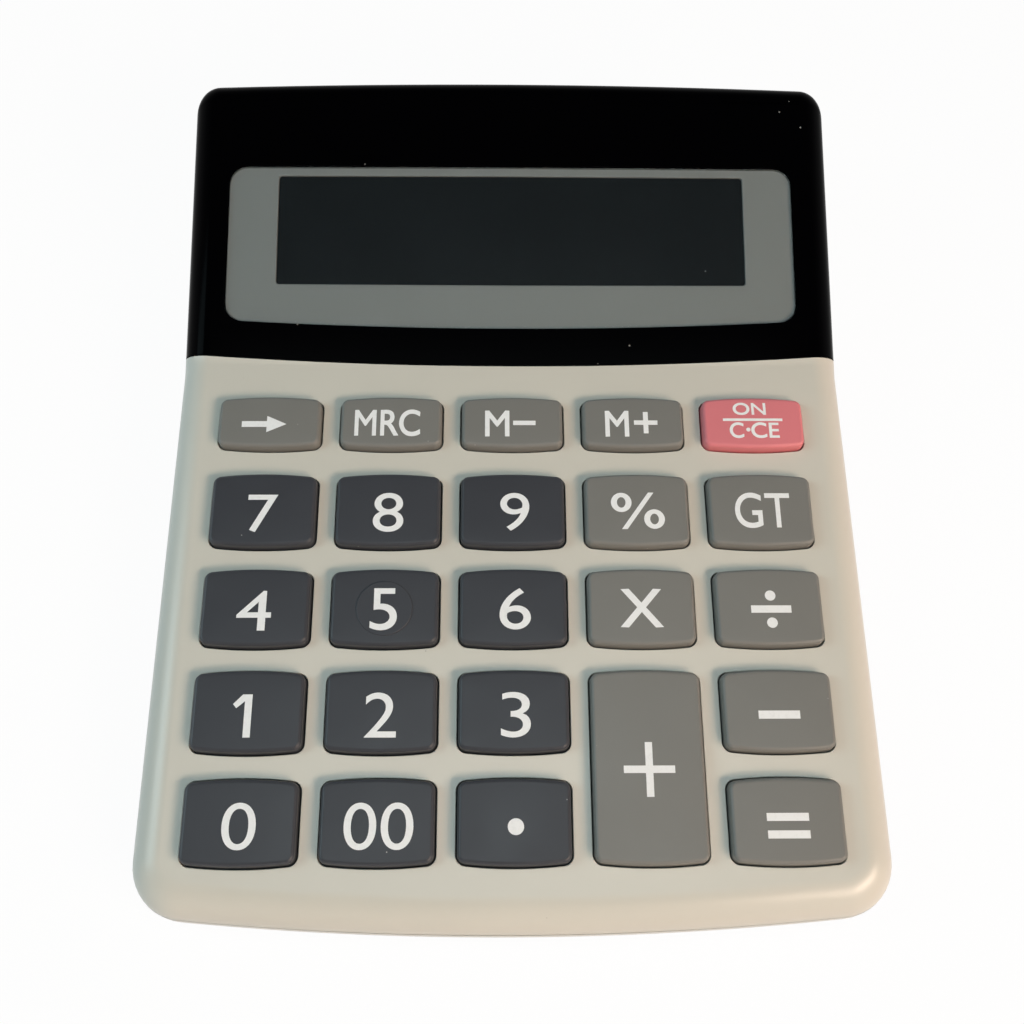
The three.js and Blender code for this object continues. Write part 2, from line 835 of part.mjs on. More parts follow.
// Epoxy blob over the chip, a low cap hanging under the board
function chipCover() {
  const profile = [[0, -chipHeight]];
  for (let i = 1; i <= chipSteps; i++) {
    const angle = (Math.PI / 2) * (i / chipSteps);
    profile.push([chipRadius * Math.sin(angle), -chipHeight * Math.cos(angle)]);
  }
  profile.push([0, 0]);
  return join(turned(profile, roundSides));
}

function capacitor() {
  const can = new THREE.CylinderGeometry(
    capacitorRadius, capacitorRadius, capacitorLength, smallRoundSides,
  );
  return join(can.rotateZ(Math.PI / 2));
}

// Pan-head screw that points up, with its head's under side at zero
function screw(radius, head, headHeight, length) {
  const profile = [
    [0, -headHeight],
    [head / 2, -headHeight],
    [head, -headHeight / 2],
    [head, 0],
    [radius, 0],
    [radius, length - radius],
    [0, length],
  ];
  return join(turned(profile, screwSides));
}

const bayY = rearY - caseWall - bayRearGap - bayWall - bayGap - cellRadius;
const bayFront = bayY - cellRadius - bayGap;
const bayRear = bayY + cellRadius + bayGap;
const bayLength = springRoom + cellLength + contactThickness + 2 * seat;
const bayHalf = bayLength / 2;
const railWidth = doorTongue + seat + bayWall;
const grooveLow = footHeight + doorThickness - doorTongueDrop - seat;
const grooveHigh = footHeight + doorThickness + seat;
const railTop = grooveHigh + caseWall / 2;
const cellZ = footHeight + doorThickness + seat + cellRadius;
const bayTop = floorTop + bayWallHeight;

function lowerCase() {
  const belowParting = block(
    -halfWidth - overrun, halfWidth + overrun,
    frontY - overrun, rearY + overrun,
    0, partingHeight - seat / 2,
  );
  let tray = solid(caseForm()).intersect(solid(belowParting));
  tray = cut(tray, caseForm(caseWall));
  const lipLow = partingHeight - weld;
  tray = tray.add(solid(lipSpace(lipInset, caseWall, lipLow, partingHeight + lipHeight)));

  const insideForm = solid(caseForm(caseWall / 2));
  for (const [x, y] of caseScrewPlaces) {
    const boss = bar(caseBossRadius + caseBossCollar, floorTop - weld, lowerBossTop, x, y);
    tray = tray.add(solid(boss).intersect(insideForm));
  }
  const screwWays = caseScrewPlaces.flatMap(([x, y]) => [
    bar(caseScrewHead + seat, 0, caseScrewHeadTop + seat, x, y, roundSides),
    bar(caseScrewRadius + seat, 0, lowerBossTop + overrun, x, y, pilotSides),
  ]);

  for (const side of [-1, 1]) {
    const ends = [side * bayHalf, side * (bayHalf + railWidth)].sort((a, b) => a - b);
    tray = tray.add(
      solid(block(ends[0], ends[1], bayFront - bayWall, rearY - caseWall, floorTop - weld, railTop)),
    );
  }
  const doorWay = block(-bayHalf, bayHalf, bayFront, rearY + overrun, 0, partingHeight - seat / 2);
  const groove = block(
    -bayHalf - doorTongue - seat, bayHalf + doorTongue + seat,
    bayFront, rearY + overrun,
    grooveLow, grooveHigh,
  );
  const footWays = footPlaces.map(([x, y]) =>
    bar(footRadius + seat, 0, footHeight + footRecess, x, y, roundSides),
  );
  tray = cut(tray, doorWay, groove, ...screwWays, ...footWays).add(solid(bayWalls()));
  for (const side of [-1, 1]) tray = tray.add(floorRib(side * floorRibAcross));
  return tray;
}

// Walls round the cell, which stand on the rails and on the floor before the door
function bayWalls() {
  const outer = join(
    block(
      -bayHalf - bayWall, bayHalf + bayWall,
      bayFront - bayWall, bayRear + bayWall,
      grooveHigh, bayTop,
    ),
    block(-bayHalf, bayHalf, bayFront - bayWall, bayFront, floorTop - weld, bayTop),
  );
  const room = block(-bayHalf, bayHalf, bayFront, bayRear, 0, bayTop + overrun);
  return geometryOf(cut(outer, room));
}

// Upright rib whose top follows the under side of the board
function floorRib(x) {
  const start = frontY + floorRibFront;
  const rib = block(
    x - floorRibThickness / 2, x + floorRibThickness / 2,
    start, start + floorRibLength,
    floorTop - weld, creaseZ,
  );
  const above = block(
    x - floorRibThickness, x + floorRibThickness,
    -caseLength, caseLength,
    boardBottom - seat, overrun,
  );
  return cut(join(rib), above.applyMatrix4(deckMatrix));
}

const footPlaces = [
  [-halfWidth + footInset, frontY + frontFootInset],
  [halfWidth - footInset, frontY + frontFootInset],
  [-halfWidth + footInset, rearY - rearFootInset],
  [halfWidth - footInset, rearY - rearFootInset],
];

function foot() {
  const height = footHeight + footRecess - seat;
  const edge = footHeight / 2;
  const profile = [
    [0, 0],
    [footRadius - edge, 0],
    [footRadius, edge],
    [footRadius, height],
    [0, height],
  ];
  return join(turned(profile, roundSides));
}

// Door: a plate flush with the base, a lip that closes the rear wall, and a tongue each side
function batteryDoor() {
  const side = bayHalf - seat;
  const front = bayFront + seat;
  const plateTop = footHeight + doorThickness;
  const outside = solid(caseForm());
  const plate = solid(block(-side, side, front, rearY + overrun, 0, plateTop));
  const lip = cut(
    join(block(-side, side, bayY, rearY + overrun, 0, partingHeight - seat / 2 - seat)),
    caseForm(caseWall),
  );
  const tongueLow = plateTop - doorTongueThickness;
  const tongue = solid(
    block(-side - doorTongue, side + doorTongue, front, rearY - caseWall, tongueLow, plateTop),
  );
  const body = plate.add(lip).add(tongue).intersect(outside);
  const grips = [];
  for (let i = 0; i < doorGripCount; i++) {
    const y = front + doorGripInset + i * doorGripPitch;
    const half = doorGripLength / 2;
    grips.push(block(-half, half, y, y + doorGripWidth, 0, footHeight + doorGripDepth));
  }
  return cut(body, ...grips);
}

// AA cell about the X axis, its button towards +X
const cellMinus = -bayHalf + springRoom;

function batteryCell() {
  const canLength = cellLength - cellButtonLength;
  const profile = [
    [0, 0],
    [cellRadius - cellEdge, 0],
    [cellRadius, cellEdge],
    [cellRadius, canLength - cellEdge],
    [cellRadius - cellEdge, canLength],
    [cellButtonRadius, canLength],
    [cellButtonRadius, cellLength],
    [0, cellLength],
  ];
  const cell = turned(profile, roundSides).rotateY(Math.PI / 2);
  return join(cell.translate(cellMinus, bayY, cellZ));
}

// Contact plate for the button, folded out over the end wall of the bay
function batteryPlate() {
  const wallTop = bayTop + seat;
  const x = bayHalf - seat - contactThickness;
  const half = contactWidth / 2;
  return join(
    block(x, x + contactThickness, bayY - half, bayY + half, wallTop - contactDrop, wallTop),
    block(
      x, bayHalf + bayWall + contactFold,
      bayY - half / 2, bayY + half / 2,
      wallTop, wallTop + contactThickness,
    ),
  );
}

// Tube of even section along a list of points, closed at both ends
function tube(points, radius, sides) {
  const rings = [];
  let normal = null;
  points.forEach((p, i) => {
    const before = points[Math.max(i - 1, 0)];
    const after = points[Math.min(i + 1, points.length - 1)];
    const run = after.clone().sub(before).normalize();
    normal ??= new THREE.Vector3(run.y, run.z, run.x).cross(run).normalize();
    normal = normal.clone().addScaledVector(run, -normal.dot(run)).normalize();
    const other = run.clone().cross(normal);
    const ring = [];
    for (let k = 0; k < sides; k++) {
      const angle = (2 * Math.PI * k) / sides;
      ring.push(
        p.clone()
          .addScaledVector(normal, radius * Math.cos(angle))
          .addScaledVector(other, radius * Math.sin(angle)),
      );
    }
    rings.push(ring);
  });
  const vertices = rings.flat();
  const faces = [];
  for (let i = 0; i + 1 < rings.length; i++) {
    for (let k = 0; k < sides; k++) {
      const a = i * sides + k;
      const b = i * sides + ((k + 1) % sides);
      faces.push(a, b, b + sides, a, b + sides, a + sides);
    }
  }
  const last = (rings.length - 1) * sides;
  for (let k = 1; k + 1 < sides; k++) {
    faces.push(0, k + 1, k, last, last + k, last + k + 1);
  }
  const geometry = new THREE.BufferGeometry().setFromPoints(vertices);
  geometry.setIndex(faces);
  return geometry.toNonIndexed();
}

// Conical contact spring about the X axis, its wide end at the wall, its leg over the wall
function springPath() {
  const wall = -bayHalf + seat + springWire / 2;
  const tip = cellMinus - seat - springWire / 2;
  const points = [new THREE.Vector3(wall - springLeg - springWire, bayY, cellZ + springWallRadius)];
  points.push(new THREE.Vector3(wall - springWire, bayY, cellZ + springWallRadius));
  const steps = springTurns * springSteps;
  for (let i = 0; i <= steps; i++) {
    const t = i / steps;
    const angle = 2 * Math.PI * springTurns * t;
    const radius = springWallRadius + (springCellRadius - springWallRadius) * t;
    points.push(
      new THREE.Vector3(
        wall + (tip - wall) * t,
        bayY + radius * Math.sin(angle),
        cellZ + radius * Math.cos(angle),
      ),
    );
  }
  return points;
}

function leastGapOf(points, radius, apart) {
  let least = Infinity;
  for (let i = 0; i < points.length; i++) {
    for (let k = i + apart; k < points.length; k++) {
      least = Math.min(least, points[i].distanceTo(points[k]));
    }
  }
  return least - 2 * radius;
}

// Lead from a battery contact, down to the floor, forward, and up to the board
function leadPath(side) {
  const start = bayHalf + bayWall + contactFold + seat;
  const floor = floorTop + 2 * seat + leadRadius;
  const out = bayHalf + railWidth + leadSpread;
  const solderPlace = [leadSolderAcross * side, boardRear - leadSolderInset, boardBottom - seat];
  const solder = new THREE.Vector3(...solderPlace).applyMatrix4(deckMatrix);
  const points = [
    [start, bayY, bayTop + seat],
    [out, bayY - leadSwing, bayTop - leadLowering],
    [out + leadRadius, bayY - leadLowering, floor + leadLowering],
    [out + leadRadius, bayY - leadLanding, floor],
    [out, bayY - leadTurning, floor],
    [leadSolderAcross + leadSpread, solder.y + 2 * leadSpread, floor],
    [leadSolderAcross + leadRadius, solder.y + leadRadius, solder.z - leadLowering],
  ].map(([x, y, z]) => new THREE.Vector3(side * x, y, z));
  return new THREE.CatmullRomCurve3([...points, solder], false, "centripetal").getPoints(leadSteps);
}

// Colours of the pieces
const colours = {
  caseBeige: [0xc6c2b6, 0.55, 0],
  coverBlack: [0x060607, 0.12, 0],
  clear: [0xe4ecec, 0.05, 0],
  bezelGrey: [0x6c7472, 0.45, 0],
  glassDark: [0x1c2021, 0.1, 0],
  ribbonAmber: [0x8a5a20, 0.4, 0],
  boardGreen: [0x1f5a34, 0.5, 0],
  epoxyBlack: [0x101010, 0.4, 0],
  rubberGrey: [0x8f9290, 0.8, 0],
  keyDark: [0x404246, 0.5, 0],
  keyGrey: [0x73736e, 0.5, 0],
  keyPink: [0xd7737d, 0.5, 0],
  rubberBlack: [0x1a1a1a, 0.9, 0],
  steel: [0xb8bcc0, 0.35, 1],
  cellJacket: [0x3c6e50, 0.4, 0.2],
  leadRed: [0xa01c1c, 0.5, 0],
  leadBlack: [0x141414, 0.5, 0],
};

const calculator = new THREE.Group();
const deckGroup = new THREE.Group();
deckMatrix.decompose(deckGroup.position, deckGroup.quaternion, deckGroup.scale);
const headGroup = new THREE.Group();
headMatrix.decompose(headGroup.position, headGroup.quaternion, headGroup.scale);
calculator.add(deckGroup, headGroup);

function place(group, name, shape, colour, x = 0, y = 0, z = 0) {
  const [color, roughness, metalness] = colours[colour];
  const material = new THREE.MeshStandardMaterial({ color, roughness, metalness });
  const mesh = new THREE.Mesh(geometryOf(shape), material);
  mesh.name = name;
  mesh.position.set(x, y, z);
  group.add(mesh);
}

// Case and display
place(calculator, "upper_case", upperCase(), "caseBeige");
place(calculator, "lower_case", lowerCase(), "caseBeige");
place(calculator, "display_cover", displayCover(), "coverBlack");
place(headGroup, "display_window", displayWindow(), "clear");
place(headGroup, "lcd_bezel", lcdBezel(), "bezelGrey");
place(headGroup, "lcd_panel", lcdPanel(), "glassDark");
place(calculator, "lcd_ribbon", lcdRibbon(), "ribbonAmber");

// Keyboard
for (const key of keys) {
  const colour = key.red ? "keyPink" : key.dark ? "keyDark" : "keyGrey";
  place(deckGroup, key.name, keyCap(key.depth), colour, key.x, key.y);
}
place(deckGroup, "keypad_membrane", domeSheet(), "rubberGrey");
place(deckGroup, "circuit_board", circuitBoard(), "boardGreen");
place(
  deckGroup, "chip_cover", chipCover(), "epoxyBlack",
  chipAcross, boardRear - chipInset, boardBottom - seat,
);
place(
  deckGroup, "capacitor", capacitor(), "epoxyBlack",
  capacitorAcross, boardRear - capacitorInset, boardBottom - seat - capacitorRadius,
);
boardScrewPlaces.forEach(([x, y], i) => {
  const length = -caseWall - 2 * seat - (boardBottom - seat);
  const shape = screw(boardScrewRadius, boardScrewHead, boardScrewHeadHeight, length);
  place(deckGroup, `board_screw_${i + 1}`, shape, "steel", x, y, boardBottom - seat);
});

// Base
footPlaces.forEach(([x, y], i) => place(calculator, `foot_${i + 1}`, foot(), "rubberBlack", x, y));
caseScrewPlaces.forEach(([x, y], i) => {
  const shape = screw(caseScrewRadius, caseScrewHead, caseScrewHeadHeight, caseScrewBite);
  place(calculator, `case_screw_${i + 1}`, shape, "steel", x, y, caseScrewHeadTop);
});

// Power
const spring = springPath();
place(calculator, "battery_door", batteryDoor(), "caseBeige");
place(calculator, "battery_cell", batteryCell(), "cellJacket");
place(calculator, "battery_plate", batteryPlate(), "steel");
place(calculator, "battery_spring", join(tube(spring, springWire / 2, springSides)), "steel");
place(calculator, "battery_lead_red", join(tube(leadPath(1), leadRadius, leadSides)), "leadRed");
place(calculator, "battery_lead_black", join(tube(leadPath(-1), leadRadius, leadSides)), "leadBlack");

const springGap = leastGapOf(spring.slice(2), springWire / 2, springSteps - 1);
console.log(`contact spring: least gap between turns ${springGap.toFixed(2)} mm`);

export default calculator;
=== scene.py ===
"""Looks of the desktop calculator: finer case, cover, display, keys, base and insides.

Every size is in metres in the part's own frame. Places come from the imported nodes, and the
sizes and colours that a user would change are properties of the scene, whose defaults are
written in millimetres and in display values.
"""

import json
import math
from dataclasses import dataclass

import bmesh
import bpy
import numpy as np
from mathutils import Matrix, Vector

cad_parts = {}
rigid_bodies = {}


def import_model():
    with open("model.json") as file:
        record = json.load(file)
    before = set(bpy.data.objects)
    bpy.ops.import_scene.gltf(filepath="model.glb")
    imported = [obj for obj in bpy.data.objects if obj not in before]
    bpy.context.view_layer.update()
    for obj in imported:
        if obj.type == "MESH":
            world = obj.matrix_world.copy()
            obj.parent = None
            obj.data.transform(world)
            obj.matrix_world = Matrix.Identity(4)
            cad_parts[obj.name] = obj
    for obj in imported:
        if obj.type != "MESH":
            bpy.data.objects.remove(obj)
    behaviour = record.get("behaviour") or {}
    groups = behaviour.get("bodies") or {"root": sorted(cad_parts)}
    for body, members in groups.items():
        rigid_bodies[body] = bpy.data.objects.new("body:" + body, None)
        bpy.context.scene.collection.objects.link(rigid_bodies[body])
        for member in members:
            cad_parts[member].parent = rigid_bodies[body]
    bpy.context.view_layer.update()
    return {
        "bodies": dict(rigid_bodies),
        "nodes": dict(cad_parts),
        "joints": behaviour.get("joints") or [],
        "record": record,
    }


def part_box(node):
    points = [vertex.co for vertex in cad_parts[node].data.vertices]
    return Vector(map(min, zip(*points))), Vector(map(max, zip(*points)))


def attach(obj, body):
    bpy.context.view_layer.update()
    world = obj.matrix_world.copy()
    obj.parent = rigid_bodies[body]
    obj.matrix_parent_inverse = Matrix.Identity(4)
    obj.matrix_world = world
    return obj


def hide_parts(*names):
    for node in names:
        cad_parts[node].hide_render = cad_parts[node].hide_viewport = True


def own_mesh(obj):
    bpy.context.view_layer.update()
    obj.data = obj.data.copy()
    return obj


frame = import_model()

bl_info = {
    "name": "Desktop Calculator",
    "version": (1, 0, 0),
    "blender": (4, 5, 0),
    "location": "View3D > Sidebar > Calculator",
    "description": "Builds the looks of a desktop calculator over its packed part",
    "category": "Object",
}

MM = 0.001
CASE = "case"
DOOR = "battery_door"
KEY_NAMES = [body for body in frame["bodies"] if body.startswith("key_")]
ONE_ROW = ("key_4", "key_5", "key_6", "key_multiply", "key_divide")
ONE_COLUMN = ("key_0", "key_1", "key_4", "key_7", "key_backspace")
CASE_SCREWS = [node for node in frame["nodes"] if node.startswith("case_screw_")]
BOARD_SCREWS = [node for node in frame["nodes"] if node.startswith("board_screw_")]
FEET = [node for node in frame["nodes"] if node.startswith("foot_")]


# Settings


def length(name, description, millimetres):
    """Property of a size."""
    size = millimetres * MM
    return bpy.props.FloatProperty(
        name=name, description=description, default=size, unit="LENGTH", precision=5, min=0.0
    )


def colour(name, description, default):
    return bpy.props.FloatVectorProperty(
        name=name, description=description, default=default, subtype="COLOR", size=3, min=0.0, max=1.0
    )


def power(name, description, default):
    return bpy.props.FloatProperty(name=name, description=description, default=default, unit="POWER")


def tint(red, green, blue):
    """Linear colour of three display values from 0 to 255."""
    shares = [value / 255 for value in (red, green, blue)]
    return tuple(s / 12.92 if s <= 0.04045 else ((s + 0.055) / 1.055) ** 2.4 for s in shares)


class CalculatorCaseSettings(bpy.types.PropertyGroup):
    """Sizes of the two halves of the case and of the cover"""

    front_bow: length("Front bow", "Radius of the bowed front edge, seen from above", 540)
    rear_bow: length("Rear bow", "Radius of the bowed rear edge, seen from above", 1560)
    front_corner: length("Front corner", "Radius of the front corners, seen from above", 8.5)
    rear_corner: length("Rear corner", "Radius of the rear corners, seen from above", 5)
    top_edge: length("Top edge", "Radius of the rounded edge round the top", 5.45)
    bottom_edge: length("Bottom edge", "Radius of the rounded edge round the base", 2)
    wall: length("Wall", "Thickness of the case's walls", 2)
    seam: length("Seam", "Gap between the two halves of the case", 0.3)
    seam_edge: length("Seam edge", "Rounding of the two halves at the parting line", 0.25)
    parting: length("Parting height", "Height of the parting line above the table", 5)
    lip_height: length("Lip height", "How far the lip stands above the parting line", 1.5)
    lip_inset: length("Lip inset", "How far the lip lies inside the wall", 1.1)
    cover_skirt: length("Cover skirt", "How far the black cover reaches down the sides", 6)
    cover_bow: length("Cover bow", "Radius of the cover's bowed front edge", 810)
    cover_gap: length("Cover gap", "Gap between the cover and the case", 0.25)
    cover_edge: length("Cover edge", "Rounding of the cover's edges", 0.12)
    head_wall: length("Head wall", "Thickness of the case under the cover", 2.5)
    head_lead: length("Head lead", "How far the thick head reaches under the deck", 3)
    rib: length("Rib", "Thickness of the ribs between the keys", 0.8)
    boss: length("Boss", "Radius of the upper bosses of the case screws", 2.4)
    boss_collar: length("Boss collar", "How much wider the lower bosses are", 1)
    board_boss: length("Board boss", "Radius of the bosses of the board screws", 2.2)
    floor_rib: length("Floor rib", "Thickness of the ribs on the floor", 1.2)
    floor_rib_across: length("Floor rib place", "Distance of a floor rib from the middle", 30)
    floor_rib_front: length("Floor rib front", "Distance of the floor ribs from the front", 22)
    floor_rib_length: length("Floor rib length", "Length of the floor ribs", 64)


class CalculatorDisplaySettings(bpy.types.PropertyGroup):
    """Sizes of the window, of the grey bezel and of its opening"""

    window_front_bow: length("Window front bow", "Radius of the window's bowed front edge", 900)
    window_rear_bow: length("Window rear bow", "Radius of the window's rear edge", 9000)
    window_corner: length("Window corner", "Radius of the window's corners", 3.5)
    window_edge: length("Window edge", "Rounding of the window's edge", 0.12)
    pane: length("Pane", "Thickness of the clear pane", 0.6)
    pane_sink: length("Pane sink", "How far the pane lies below the cover's face", 0.15)
    pane_gap: length("Pane gap", "Gap between the pane and the bezel", 0.05)
    view_sink: length("View sink", "How far the display lies below the bezel's face", 0.3)
    view_side: length("View side margin", "Width of the grey bezel at each side", 9.1)
    view_front: length("View front margin", "Depth of the grey bezel before the display", 8.5)
    view_rear: length("View rear margin", "Depth of the grey bezel behind the display", 1.7)
    view_corner: length("View corner", "Radius of the display opening's corners", 0.6)
    view_edge: length("View edge", "Rounding of the display opening's edge", 0.2)
    bezel_rim: length("Bezel rim", "How far the bezel reaches under the cover", 1.5)
    bezel_plate: length("Bezel plate", "Thickness of the bezel's plate", 1)
    bezel_skirt: length("Bezel skirt", "Thickness of the bezel's skirt", 1.2)
    glass_ledge: length("Glass ledge", "How far the lower glass stands out at the front", 1.6)
    glass_edge: length("Glass edge", "Chamfer round each glass", 0.15)
    polarizer: length("Polarizer", "Thickness of the dark film on the glass", 0.15)


class CalculatorKeySettings(bpy.types.PropertyGroup):
    """Sizes of the keys, of their holes, of the printed signs and of the rubber domes"""

    packed_height: length("Packed height", "Height of a packed key above the deck", 2.5)
    height: length("Key height", "Height of a key above the deck", 1.9)
    bow: length("Key bow", "Radius of a key's bowed front and rear edges", 70)
    corner: length("Key corner", "Radius of a key's corners, seen from above", 1.4)
    draft: length("Key draft", "How far a key's walls lean in up to its edge", 0.08)
    edge: length("Key edge", "Radius of the rounded edge round a key's top", 0.65)
    crown: length("Key crown", "How far a key's corners lie below its middle", 0.18)
    rim: length("Flange rim", "How far a key's flange stands out", 1)
    flange: length("Flange", "Thickness of a key's flange", 0.8)
    hole_gap: length("Hole gap", "Gap between a key and its hole", 0.24)
    hole_edge: length("Hole edge", "Radius of the rounded edge round a key hole", 0.15)
    disc_radius: length("Touch disc radius", "Radius of the raised disc on the five", 4.6)
    disc_shift: length("Touch disc place", "How far the disc lies before the key's middle", 0.3)
    disc_height: length("Touch disc height", "Height of the raised disc on the five", 0.3)
    print_lift: length("Print lift", "Height of the printed signs above a key", 0.03)
    sheet: length("Sheet thickness", "Thickness of the rubber sheet", 0.8)
    dome_base: length("Dome foot", "Radius of a rubber dome's foot", 3.3)
    dome_top: length("Dome button", "Radius of a rubber dome's flat top", 1.8)


class CalculatorBaseSettings(bpy.types.PropertyGroup):
    """Sizes of the screws, the battery door, its bay, the cell and its spring"""

    screw_head: length("Screw head", "Radius of a case screw's head", 2.4)
    screw_head_height: length("Screw head height", "Height of a case screw's head", 1.3)
    screw_shank: length("Screw shank", "Radius of a case screw's thread", 1.1)
    screw_grip: length("Screw grip", "Thickness of plastic that a case screw clamps", 1.3)
    thread_pitch: length("Thread pitch", "Height of one turn of a screw's thread", 0.5)
    board_head_height: length("Board screw head", "Height of a board screw's head", 1.2)
    board_shank: length("Board screw shank", "Radius of a board screw's thread", 0.8)
    tongue: length("Tongue", "How far the door's tongues stand out", 0.9)
    tongue_thickness: length("Tongue thickness", "Thickness of the door's tongues", 0.8)
    bay_wall: length("Bay wall", "Thickness of the battery bay's walls", 1.5)
    bay_height: length("Bay height", "Height of the battery bay's walls", 11)
    cell_gap: length("Cell gap", "Gap between the cell and its bay", 0.4)
    grip_count: bpy.props.IntProperty(name="Grips", description="Finger grooves in the door", default=5)
    grip_pitch: length("Grip pitch", "Distance from one finger groove to the next", 1.8)
    grip_width: length("Grip width", "Width of a finger groove", 0.8)
    grip_depth: length("Grip depth", "Depth of a finger groove", 0.5)
    grip_length: length("Grip length", "Length of a finger groove", 14)
    grip_inset: length("Grip inset", "Distance of the grooves from the door's front", 3)
    door_edge: length("Door edge", "Rounding of the door's edges", 0.12)
    cell_edge: length("Cell edge", "Rounding of the cell's ends", 0.6)
    cell_skin: length("Cell jacket", "Thickness of the cell's jacket", 0.15)
    button: length("Cell button", "Radius of the cell's button", 2.75)
    button_height: length("Button height", "Height of the cell's button", 1.2)
    spring_wire: length("Spring wire", "Radius of the contact spring's wire", 0.35)
    spring_wide: length("Spring foot", "Radius of the contact spring at the wall", 4.5)
    spring_narrow: length("Spring tip", "Radius of the contact spring at the cell", 2.4)
    spring_leg: length("Spring leg", "Length of the contact spring's leg", 4)
    spring_turns: bpy.props.IntProperty(name="Turns", description="Turns of the spring", default=4)


class CalculatorColourSettings(bpy.types.PropertyGroup):
    """Colours of the plastics, the prints and the rubber"""

    case: colour("Case", "Beige plastic of the case", tint(203, 201, 192))
    cover: colour("Cover", "Black plastic of the display cover", tint(2, 2, 3))
    bezel: colour("Bezel", "Grey paint of the display bezel", tint(132, 137, 136))
    glass: colour("Display glass", "Dark glass of the display", tint(31, 36, 39))
    key_dark: colour("Number keys", "Slate plastic of the number keys", tint(58, 60, 66))
    key_grey: colour("Function keys", "Grey plastic of the function keys", tint(120, 120, 117))
    key_pink: colour("Clear key", "Pink plastic of the clear key", tint(214, 124, 131))
    legend: colour("Signs", "White ink of the signs on the keys", tint(236, 238, 240))
    rubber: colour("Feet", "Black rubber of the feet", tint(30, 30, 31))
    dome: colour("Domes", "Grey rubber of the domes", tint(150, 152, 150))
    board: colour("Board", "Green lacquer of the circuit board", tint(28, 84, 48))
    jacket: colour("Cell", "Printed jacket of the cell", tint(60, 110, 80))


class CalculatorStageSettings(bpy.types.PropertyGroup):
    """Lamps and sky"""

    key_power: power("Key lamp", "Power of the warm lamp at the right", 4.7)
    left_power: power("Left lamp", "Power of the cool lamp at the left", 1.5)
    top_power: power("Top lamp", "Power of the lamp above the keys", 0.5)
    sky: bpy.props.FloatProperty(
        name="Sky", description="Brightness of the sky near the horizon", default=0.16, min=0.0
    )


# Shapes

OVERRUN = 12 * MM  # how far a cutter reaches past what it cuts
WELD = 0.4 * MM  # how far forms that are joined reach into each other
SEAT = 0.3 * MM  # gap between pieces that meet
LEAST_RADIUS = 0.4 * MM
SAME_PLACE = 0.0005 * MM  # points closer than this are one
LEVEL = math.cos(math.radians(0.1))  # faces that lean less than this are one flat region
UPRIGHT = Matrix.Identity(4)


@dataclass
class Plan:
    """Outline seen from above: straight sides, bowed front and rear edges, round corners"""

    half: float
    front: float
    rear: float
    front_bow: float
    rear_bow: float
    front_corner: float
    rear_corner: float
    front_steps: int = 24
    rear_steps: int = 16
    corner_steps: int = 10

    def outline(self, inset=0.0, stops=()):
        """Points run anticlockwise; an inset draws every edge and corner in by the same distance."""
        front = self._end(self.front, self.front_bow, self.front_corner, -1, inset)
        rear = self._end(self.rear, self.rear_bow, self.rear_corner, 1, inset)
        points = self._edge(front, self.front_steps)
        points += self._corner(front, 1, front["angle"], 0)
        points += [(self.half - inset, y) for y in stops]
        points += self._corner(rear, 1, 0, rear["angle"])
        points += self._edge(rear, self.rear_steps)
        points += self._corner(rear, -1, rear["angle"], 0)
        points += [(inset - self.half, y) for y in reversed(stops)]
        points += self._corner(front, -1, 0, front["angle"])
        return points

    def _end(self, tip, bow, corner, way, inset):
        centre = tip - way * bow
        across = self.half - corner
        along = centre + way * math.sqrt((bow - corner) ** 2 - across**2)
        return {
            "way": way, "centre": centre, "across": across, "along": along,
            "angle": math.atan2(along - centre, across), "bow": bow - inset, "corner": corner - inset,
        }

    def _edge(self, end, steps):
        reach = end["bow"] * math.cos(end["angle"])
        points = []
        for i in range(1, steps):
            x = end["way"] * reach * (1 - 2 * i / steps)
            points.append((x, end["centre"] + end["way"] * math.sqrt(end["bow"] ** 2 - x**2)))
        return points

    def _corner(self, end, side, start, stop):
        points = []
        for i in range(self.corner_steps + 1):
            angle = start + (stop - start) * i / self.corner_steps
            x = side * (end["across"] + end["corner"] * math.cos(angle))
            points.append((x, end["along"] + end["corner"] * math.sin(angle)))
        return points


def new_object(name, mesh):
    made = bpy.data.objects.new(name, mesh)
    bpy.context.scene.collection.objects.link(made)
    return made


def form(name, points, faces, matrix=None):
    """Object from corner points and faces."""
    mesh = bpy.data.meshes.new(name)
    mesh.from_pydata([tuple(p) for p in points], [], faces)
    if matrix:
        mesh.transform(matrix)
    mesh.validate()
    return new_object(name, mesh)


def at(outline, height):
    """Ring of an outline at one height."""
    return [(x, y, height) for x, y in outline]


def loft(name, rings, matrix=None, top_parts=None):
    """Closed skin over rings of as many points each; a bent top is given as lists of point numbers."""
    count = len(rings[0])
    faces = []
    for level in range(len(rings) - 1):
        for i in range(count):
            a, b = level * count + i, level * count + (i + 1) % count
            faces.append((a, b, b + count, a + count))
    whole = list(range(count))
    faces.append(tuple(reversed(whole)))
    base = (len(rings) - 1) * count
    for part in top_parts or [whole]:
        faces.append(tuple(base + i for i in part))
    return form(name, [p for ring in rings for p in ring], faces, matrix)


def prism(name, outline, low, high, matrix=None):
    return loft(name, [at(outline, low), at(outline, high)], matrix)


def corners(x0, x1, y0, y1, inset=0.0):
    """Four corners of a rectangle, drawn in by an inset."""
    x0, x1, y0, y1 = x0 + inset, x1 - inset, y0 + inset, y1 - inset
    return [(x0, y0), (x1, y0), (x1, y1), (x0, y1)]


def around(low, high, reach):
    """Sides of a box seen from above, let out by a distance."""
    return low.x - reach, high.x + reach, low.y - reach, high.y + reach


def block(x0, x1, y0, y1, z0, z1, matrix=None):
    return prism("block", corners(x0, x1, y0, y1), z0, z1, matrix)


